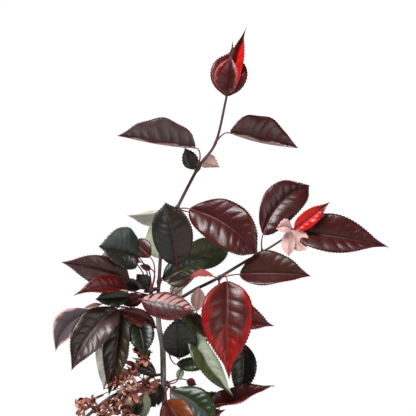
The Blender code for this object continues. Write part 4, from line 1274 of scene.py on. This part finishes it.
class CRABAPPLE_OT_blossom(bpy.types.Operator):
    """Make the dried blossom: stalks, calyces, shrivelled petals and stamens"""

    bl_idname = "crabapple.blossom"
    bl_label = "Dried blossom"

    def execute(self, context):
        grown = grow_plant(limbs_of_plant())
        rng = np.random.default_rng(SEED + 2)
        heap = Heap()
        for root, heart in grown["old_blossom"][3]:
            add_head(heap, rng, root, heart)
            for _ in range(HEADS - 1):
                near = heart + Vector(rng.uniform(-1, 1, 3) * HEAD_SPREAD)
                add_head(heap, rng, root.lerp(heart, 0.6), near)
        make_piece("old_blossom_petals", heap, wood_material, "old_blossom")
        return {"FINISHED"}


def limb_piece(name, limb, steps, sides, relief, material_of, slot, seed, foot=False):
    """A limb with its bark's relief: furrows along it, raised spots and rings where leaves have been."""
    centres, radii = limb
    line = smooth_line(centres, steps)
    girth = np.interp(np.arange(len(line)), np.arange(len(radii)) * steps, radii)
    rng = np.random.default_rng(seed)
    lengths = np.concatenate([[0], np.cumsum(np.linalg.norm(np.diff(line, axis=0), axis=1))])
    angle = np.linspace(0, 2 * math.pi, sides, endpoint=False)
    bumps = np.zeros((len(line), sides))
    for waves in (3, 5, 8, 13):
        drift = rng.uniform(-30, 30)
        bumps += np.sin(waves * angle[None] + drift * lengths[:, None] + rng.uniform(0, 6.3)) / waves ** 0.5
    bumps *= 0.3
    for _ in range(int(lengths[-1] / (5 * MM))):
        at, turn = rng.uniform(0, lengths[-1]), rng.uniform(0, 2 * math.pi)
        off = (angle[None] - turn + math.pi) % (2 * math.pi) - math.pi
        bumps += 1.5 * np.exp(-((lengths[:, None] - at) / (0.8 * MM)) ** 2 - (off / 0.35) ** 2)
    for at in np.arange(18 * MM, lengths[-1], 27 * MM):
        bumps += 1.2 * np.exp(-((lengths[:, None] - at) / (1.2 * MM)) ** 2)
    surface = girth[:, None] + relief * bumps
    heap = Heap()
    add_tube(heap, line, surface, sides, slot)
    return make_piece(name, heap, material_of, name.replace("_bark", ""))


class CRABAPPLE_OT_limbs(bpy.types.Operator):
    """Model the trunk and the boughs with their bark's relief"""

    bl_idname = "crabapple.limbs"
    bl_label = "Trunk and boughs"

    def execute(self, context):
        limbs = limbs_of_plant()
        limb_piece("trunk_bark", limbs["trunk"], 24, 32, 0.12 * MM, trunk_material, "bark", 3)
        limb_piece("right_bough_bark", limbs["right_bough"], 16, 20, 0.07 * MM, bough_material, "bough", 4)
        limb_piece("low_bough_bark", limbs["low_bough"], 22, 20, 0.08 * MM, trunk_material, "bark", 5)
        return {"FINISHED"}


# Pot
POT_HEIGHT = 216 * MM
POT_RIM_RADIUS = 111 * MM
POT_MOUTH_RADIUS = 105 * MM
POT_BASE_RADIUS = 84 * MM
POT_WALL = 2.2 * MM
RIM_DEPTH = 12 * MM
RIM_ROLL = 3 * MM
POT_SIDES = 96
DRAIN_COUNT = 6
DRAIN_RADIUS = 6 * MM
DRAIN_CIRCLE = 66 * MM
MIX_HEIGHT = 196 * MM
MIX_MOUND = 4 * MM
MIX_RINGS = 36


def pot_profile():
    """(radius, height) up the outside of the pot, over its rim and down to the inside of its floor."""
    lip = POT_RIM_RADIUS
    mouth = POT_MOUTH_RADIUS
    inner = mouth - POT_WALL
    slope = (mouth - POT_BASE_RADIUS) / (POT_HEIGHT - RIM_DEPTH)
    profile = [(POT_BASE_RADIUS - 1.2 * MM, 0), (POT_BASE_RADIUS, 1.2 * MM), (POT_BASE_RADIUS + 1.5 * MM, 8 * MM)]
    for height in (58 * MM, 150 * MM):
        radius = POT_BASE_RADIUS + slope * height
        profile += [
            (radius, height), (radius + 0.7 * MM, height + 1 * MM), (radius + 0.8 * MM, height + 3 * MM),
            (radius + 0.4 * MM, height + 4 * MM),
        ]
    return profile + [
        (mouth, POT_HEIGHT - RIM_DEPTH), (mouth, POT_HEIGHT - RIM_ROLL * 1.4),
        (lip - POT_WALL, POT_HEIGHT - RIM_ROLL * 1.4), (lip - POT_WALL, POT_HEIGHT - RIM_DEPTH),
        (lip, POT_HEIGHT - RIM_DEPTH), (lip, POT_HEIGHT - RIM_ROLL), (lip - RIM_ROLL * 0.3, POT_HEIGHT - 1 * MM),
        (lip - RIM_ROLL, POT_HEIGHT), (inner + RIM_ROLL, POT_HEIGHT), (inner + 0.8 * MM, POT_HEIGHT - 1 * MM),
        (inner + 0.5 * MM, POT_HEIGHT - RIM_ROLL), (inner, POT_HEIGHT - RIM_DEPTH),
        (POT_BASE_RADIUS - POT_WALL, POT_WALL * 1.4),
    ]


def turned(name, profile, sides):
    """An object raised ring by ring from a disc through (radius, height) and closed at its last ring."""
    clear_selection()
    radius, height = profile[0]
    bpy.ops.mesh.primitive_circle_add(
        vertices=sides, radius=radius, fill_type="NGON", location=(0, 0, height))
    made = bpy.context.object
    made.name = name
    bpy.ops.object.mode_set(mode="EDIT")
    bpy.ops.mesh.select_all(action="SELECT")
    for wider, higher in profile[1:]:
        bpy.ops.mesh.extrude_edges_move()
        bpy.ops.transform.resize(value=(wider / radius, wider / radius, 1))
        bpy.ops.transform.translate(value=(0, 0, higher - height))
        radius, height = wider, higher
    bpy.ops.mesh.edge_face_add()
    bpy.ops.mesh.select_all(action="SELECT")
    bpy.ops.mesh.normals_make_consistent(inside=False)
    bpy.ops.object.mode_set(mode="OBJECT")
    bpy.ops.object.transform_apply(location=True, rotation=True, scale=True)
    return made


class CRABAPPLE_OT_pot(bpy.types.Operator):
    """Model the pot: its wall, rim and floor raised ring by ring, with drain holes cut through"""

    bl_idname = "crabapple.pot"
    bl_label = "Pot"

    def execute(self, context):
        pot = turned("pot_shell", pot_profile(), POT_SIDES)
        for k in range(DRAIN_COUNT):
            cut_drain(pot, 2 * math.pi * (k + 0.5) / DRAIN_COUNT)
        clear_selection()
        pot.select_set(True)
        context.view_layer.objects.active = pot
        bpy.ops.object.shade_smooth_by_angle(angle=math.radians(28))
        pot.data.materials.append(pot_material())
        settle(pot, "pot")
        return {"FINISHED"}


def cut_drain(pot, angle):
    """Cuts one drain hole through the pot's floor."""
    clear_selection()
    bpy.ops.mesh.primitive_cylinder_add(
        vertices=32, radius=DRAIN_RADIUS, depth=6 * POT_WALL,
        location=(DRAIN_CIRCLE * math.cos(angle), DRAIN_CIRCLE * math.sin(angle), 0))
    cutter = bpy.context.object
    cut = pot.modifiers.new("drain", "BOOLEAN")
    cut.operation = "DIFFERENCE"
    cut.solver = "EXACT"
    cut.object = cutter
    bpy.context.view_layer.objects.active = pot
    bpy.ops.object.modifier_apply(modifier=cut.name)
    bpy.data.objects.remove(cutter, do_unlink=True)


def pot_material():
    """Moulded plastic with a fine grain and scuffs."""
    return finish_material(
        "pot plastic", finish_colour("pot"), 0.46, mottle=(0.12, 18), grain=(1600, 0.25), spread=0.22)


def mix_material(name):
    if name == "perlite":
        return finish_material("perlite", finish_colour("perlite"), 0.9, mottle=(0.1, 400), grain=(1200, 0.6))
    return finish_material("potting mix", finish_colour("mix"), 0.92, mottle=(0.5, 240), grain=(800, 1.0))


def mix_height(radius, edge):
    """Height of the mix's surface at a distance from the trunk."""
    part = min(radius / edge, 1)
    return MIX_HEIGHT + MIX_MOUND * (1 - part ** 2) - 3.0 * MM * part ** 4


def add_crumb(heap, rng, place, size, look):
    """A crumb: a flattened, uneven six-sided lump."""
    spin = np.array(Matrix.Rotation(rng.uniform(0, 6.3), 3, Vector([rng.uniform(-1, 1) for _ in range(3)]).normalized()))
    lump = []
    for sign in (-1, 1):
        for k in range(6):
            angle = k * math.pi / 3 + rng.uniform(-0.3, 0.3)
            radius = size * rng.uniform(0.6, 1.1)
            lump.append((radius * math.cos(angle), radius * 0.7 * math.sin(angle), sign * size * rng.uniform(0.2, 0.4)))
    points = np.array(lump) @ spin.T + np.array(place)
    centres = [points[:6].mean(0), points[6:].mean(0)]
    points = np.concatenate([points, centres])
    faces = []
    for k in range(6):
        nxt = (k + 1) % 6
        faces.append((k, nxt, 6 + nxt, 6 + k))
    for k in range(0, 6, 2):
        mid, nxt = k + 1, (k + 2) % 6
        faces.append((12, nxt, mid, k))
        faces.append((13, 6 + k, 6 + mid, 6 + nxt))
    heap.add(points, faces, [look] * len(faces))


class CRABAPPLE_OT_mix(bpy.types.Operator):
    """Model the potting mix: a crumbly mound with bark crumbs and pale grains on it"""

    bl_idname = "crabapple.mix"
    bl_label = "Potting mix"

    def execute(self, context):
        low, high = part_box("potting_mix")
        edge = high.x - 0.6 * MM
        foot = POT_BASE_RADIUS - POT_WALL - 1.2 * MM
        rings = [edge * (1 - k / MIX_RINGS) for k in range(MIX_RINGS)]
        profile = [(foot, low.z)] + [(radius, mix_height(radius, edge) - 1.2 * MM) for radius in rings]
        mix = turned("mix_mound", profile, POT_SIDES)
        clods = bpy.data.textures.new("clods", "CLOUDS")
        clods.noise_scale = 7 * MM
        uneven = mix.modifiers.new("uneven", "DISPLACE")
        uneven.texture = clods
        uneven.strength = 2.2 * MM
        bpy.ops.object.modifier_apply(modifier=uneven.name)
        mix.data.shade_smooth()
        mix.data.materials.append(mix_material("mix"))
        settle(mix, "potting_mix")
        rng = random.Random(SEED + 3)
        crumbs = Heap()
        settings = sizes()
        for k in range(settings.crumbs + settings.grains):
            pale = k >= settings.crumbs
            radius = math.sqrt(rng.uniform(0.006, 1)) * (edge - 4 * MM)
            angle = rng.uniform(0, 2 * math.pi)
            size = rng.uniform(1.0, 2.2) * MM if pale else rng.uniform(1.2, 4.6) * MM
            height = min(mix_height(radius, edge) - size * 0.2, high.z + 1.5 * MM)
            place = (radius * math.cos(angle), radius * math.sin(angle), height)
            add_crumb(crumbs, rng, place, size, "perlite" if pale else "mix")
        piece = make_piece("mix_crumbs", crumbs, mix_material)
        piece.data.polygons.foreach_set("use_smooth", [False] * len(piece.data.polygons))
        return {"FINISHED"}


# Studio
CAMERA_AWAY = 5.0
SENSOR = 36.0
AIM = Vector((PHOTO_LEFT + PHOTO_SIDE / 2, 0, PHOTO_TOP - PHOTO_SIDE / 2))
LIGHTS = (
    ("key light", (-1.1, -1.5, 2.9), 1.3, 120),
    ("fill light", (1.9, -2.2, 0.9), 1.6, 22),
    ("rim light", (0.9, 1.8, 2.0), 1.2, 36),
)


class CRABAPPLE_OT_stage(bpy.types.Operator):
    """Set up the pale floor, the soft lights and the camera"""

    bl_idname = "crabapple.stage"
    bl_label = "Studio"

    def execute(self, context):
        clear_selection()
        bpy.ops.mesh.primitive_circle_add(vertices=96, radius=1.6, fill_type="NGON", location=(0, 0, -0.0005))
        floor = context.object
        floor.name = "floor"
        floor.data.materials.append(
            finish_material("floor", finish_colour("floor"), 0.8, mottle=(0.02, 3), grain=(300, 0.05)))
        for name, place, side, power in LIGHTS:
            bpy.ops.object.light_add(type="AREA", location=place)
            light = context.object
            light.name = name
            light.data.shape = "DISK"
            light.data.size = side
            light.data.energy = power
            light.rotation_euler = (AIM - Vector(place)).to_track_quat("-Z", "Y").to_euler()
        world = bpy.data.worlds.new("studio")
        world.use_nodes = True
        tree = world.node_tree
        sky = tree.nodes["Background"]
        sky.inputs["Color"].default_value = (1, 1, 1, 1)
        path = tree.nodes.new("ShaderNodeLightPath")
        level = add_math(tree, "ADD", add_math(tree, "MULTIPLY", path.outputs["Is Camera Ray"], 0.92), 0.1)
        tree.links.new(level, sky.inputs["Strength"])
        context.scene.world = world
        bpy.ops.object.camera_add(location=AIM + Vector((0, -CAMERA_AWAY, 0)), rotation=(math.pi / 2, 0, 0))
        camera = context.object
        camera.name = "camera"
        camera.data.sensor_width = SENSOR
        camera.data.lens = SENSOR * CAMERA_AWAY / PHOTO_SIDE
        camera.data.clip_end = 50
        context.scene.camera = camera
        context.scene.view_settings.view_transform = "Standard"
        return {"FINISHED"}


OPERATORS = (
    CRABAPPLE_OT_stage, CRABAPPLE_OT_limbs, CRABAPPLE_OT_leaves, CRABAPPLE_OT_blossom, CRABAPPLE_OT_pot,
    CRABAPPLE_OT_mix,
)


class CRABAPPLE_PT_panel(bpy.types.Panel):
    """Lists the crabapple's pieces"""

    bl_idname = "CRABAPPLE_PT_panel"
    bl_label = "Potted crabapple"
    bl_space_type = "VIEW_3D"
    bl_region_type = "UI"
    bl_category = "Crabapple"

    def draw(self, context):
        layout = self.layout
        for operator in OPERATORS:
            layout.operator(operator.bl_idname)
        for group in (context.scene.crabapple_sizes, context.scene.crabapple_finishes, context.scene.crabapple_tints):
            for name in group.__annotations__:
                layout.prop(group, name)


CLASSES = (CrabappleTints, CrabappleFinishes, CrabappleSizes, *OPERATORS, CRABAPPLE_PT_panel)


def register():
    for cls in CLASSES:
        bpy.utils.register_class(cls)
    bpy.types.Scene.crabapple_tints = PointerProperty(type=CrabappleTints)
    bpy.types.Scene.crabapple_finishes = PointerProperty(type=CrabappleFinishes)
    bpy.types.Scene.crabapple_sizes = PointerProperty(type=CrabappleSizes)


def unregister():
    del bpy.types.Scene.crabapple_tints
    del bpy.types.Scene.crabapple_finishes
    del bpy.types.Scene.crabapple_sizes
    for cls in reversed(CLASSES):
        bpy.utils.unregister_class(cls)


def main():
    register()
    clear_selection()
    bpy.ops.crabapple.stage()
    bpy.ops.crabapple.limbs()
    bpy.ops.crabapple.leaves()
    bpy.ops.crabapple.blossom()
    bpy.ops.crabapple.pot()
    bpy.ops.crabapple.mix()


if __name__ == "__main__":
    main()
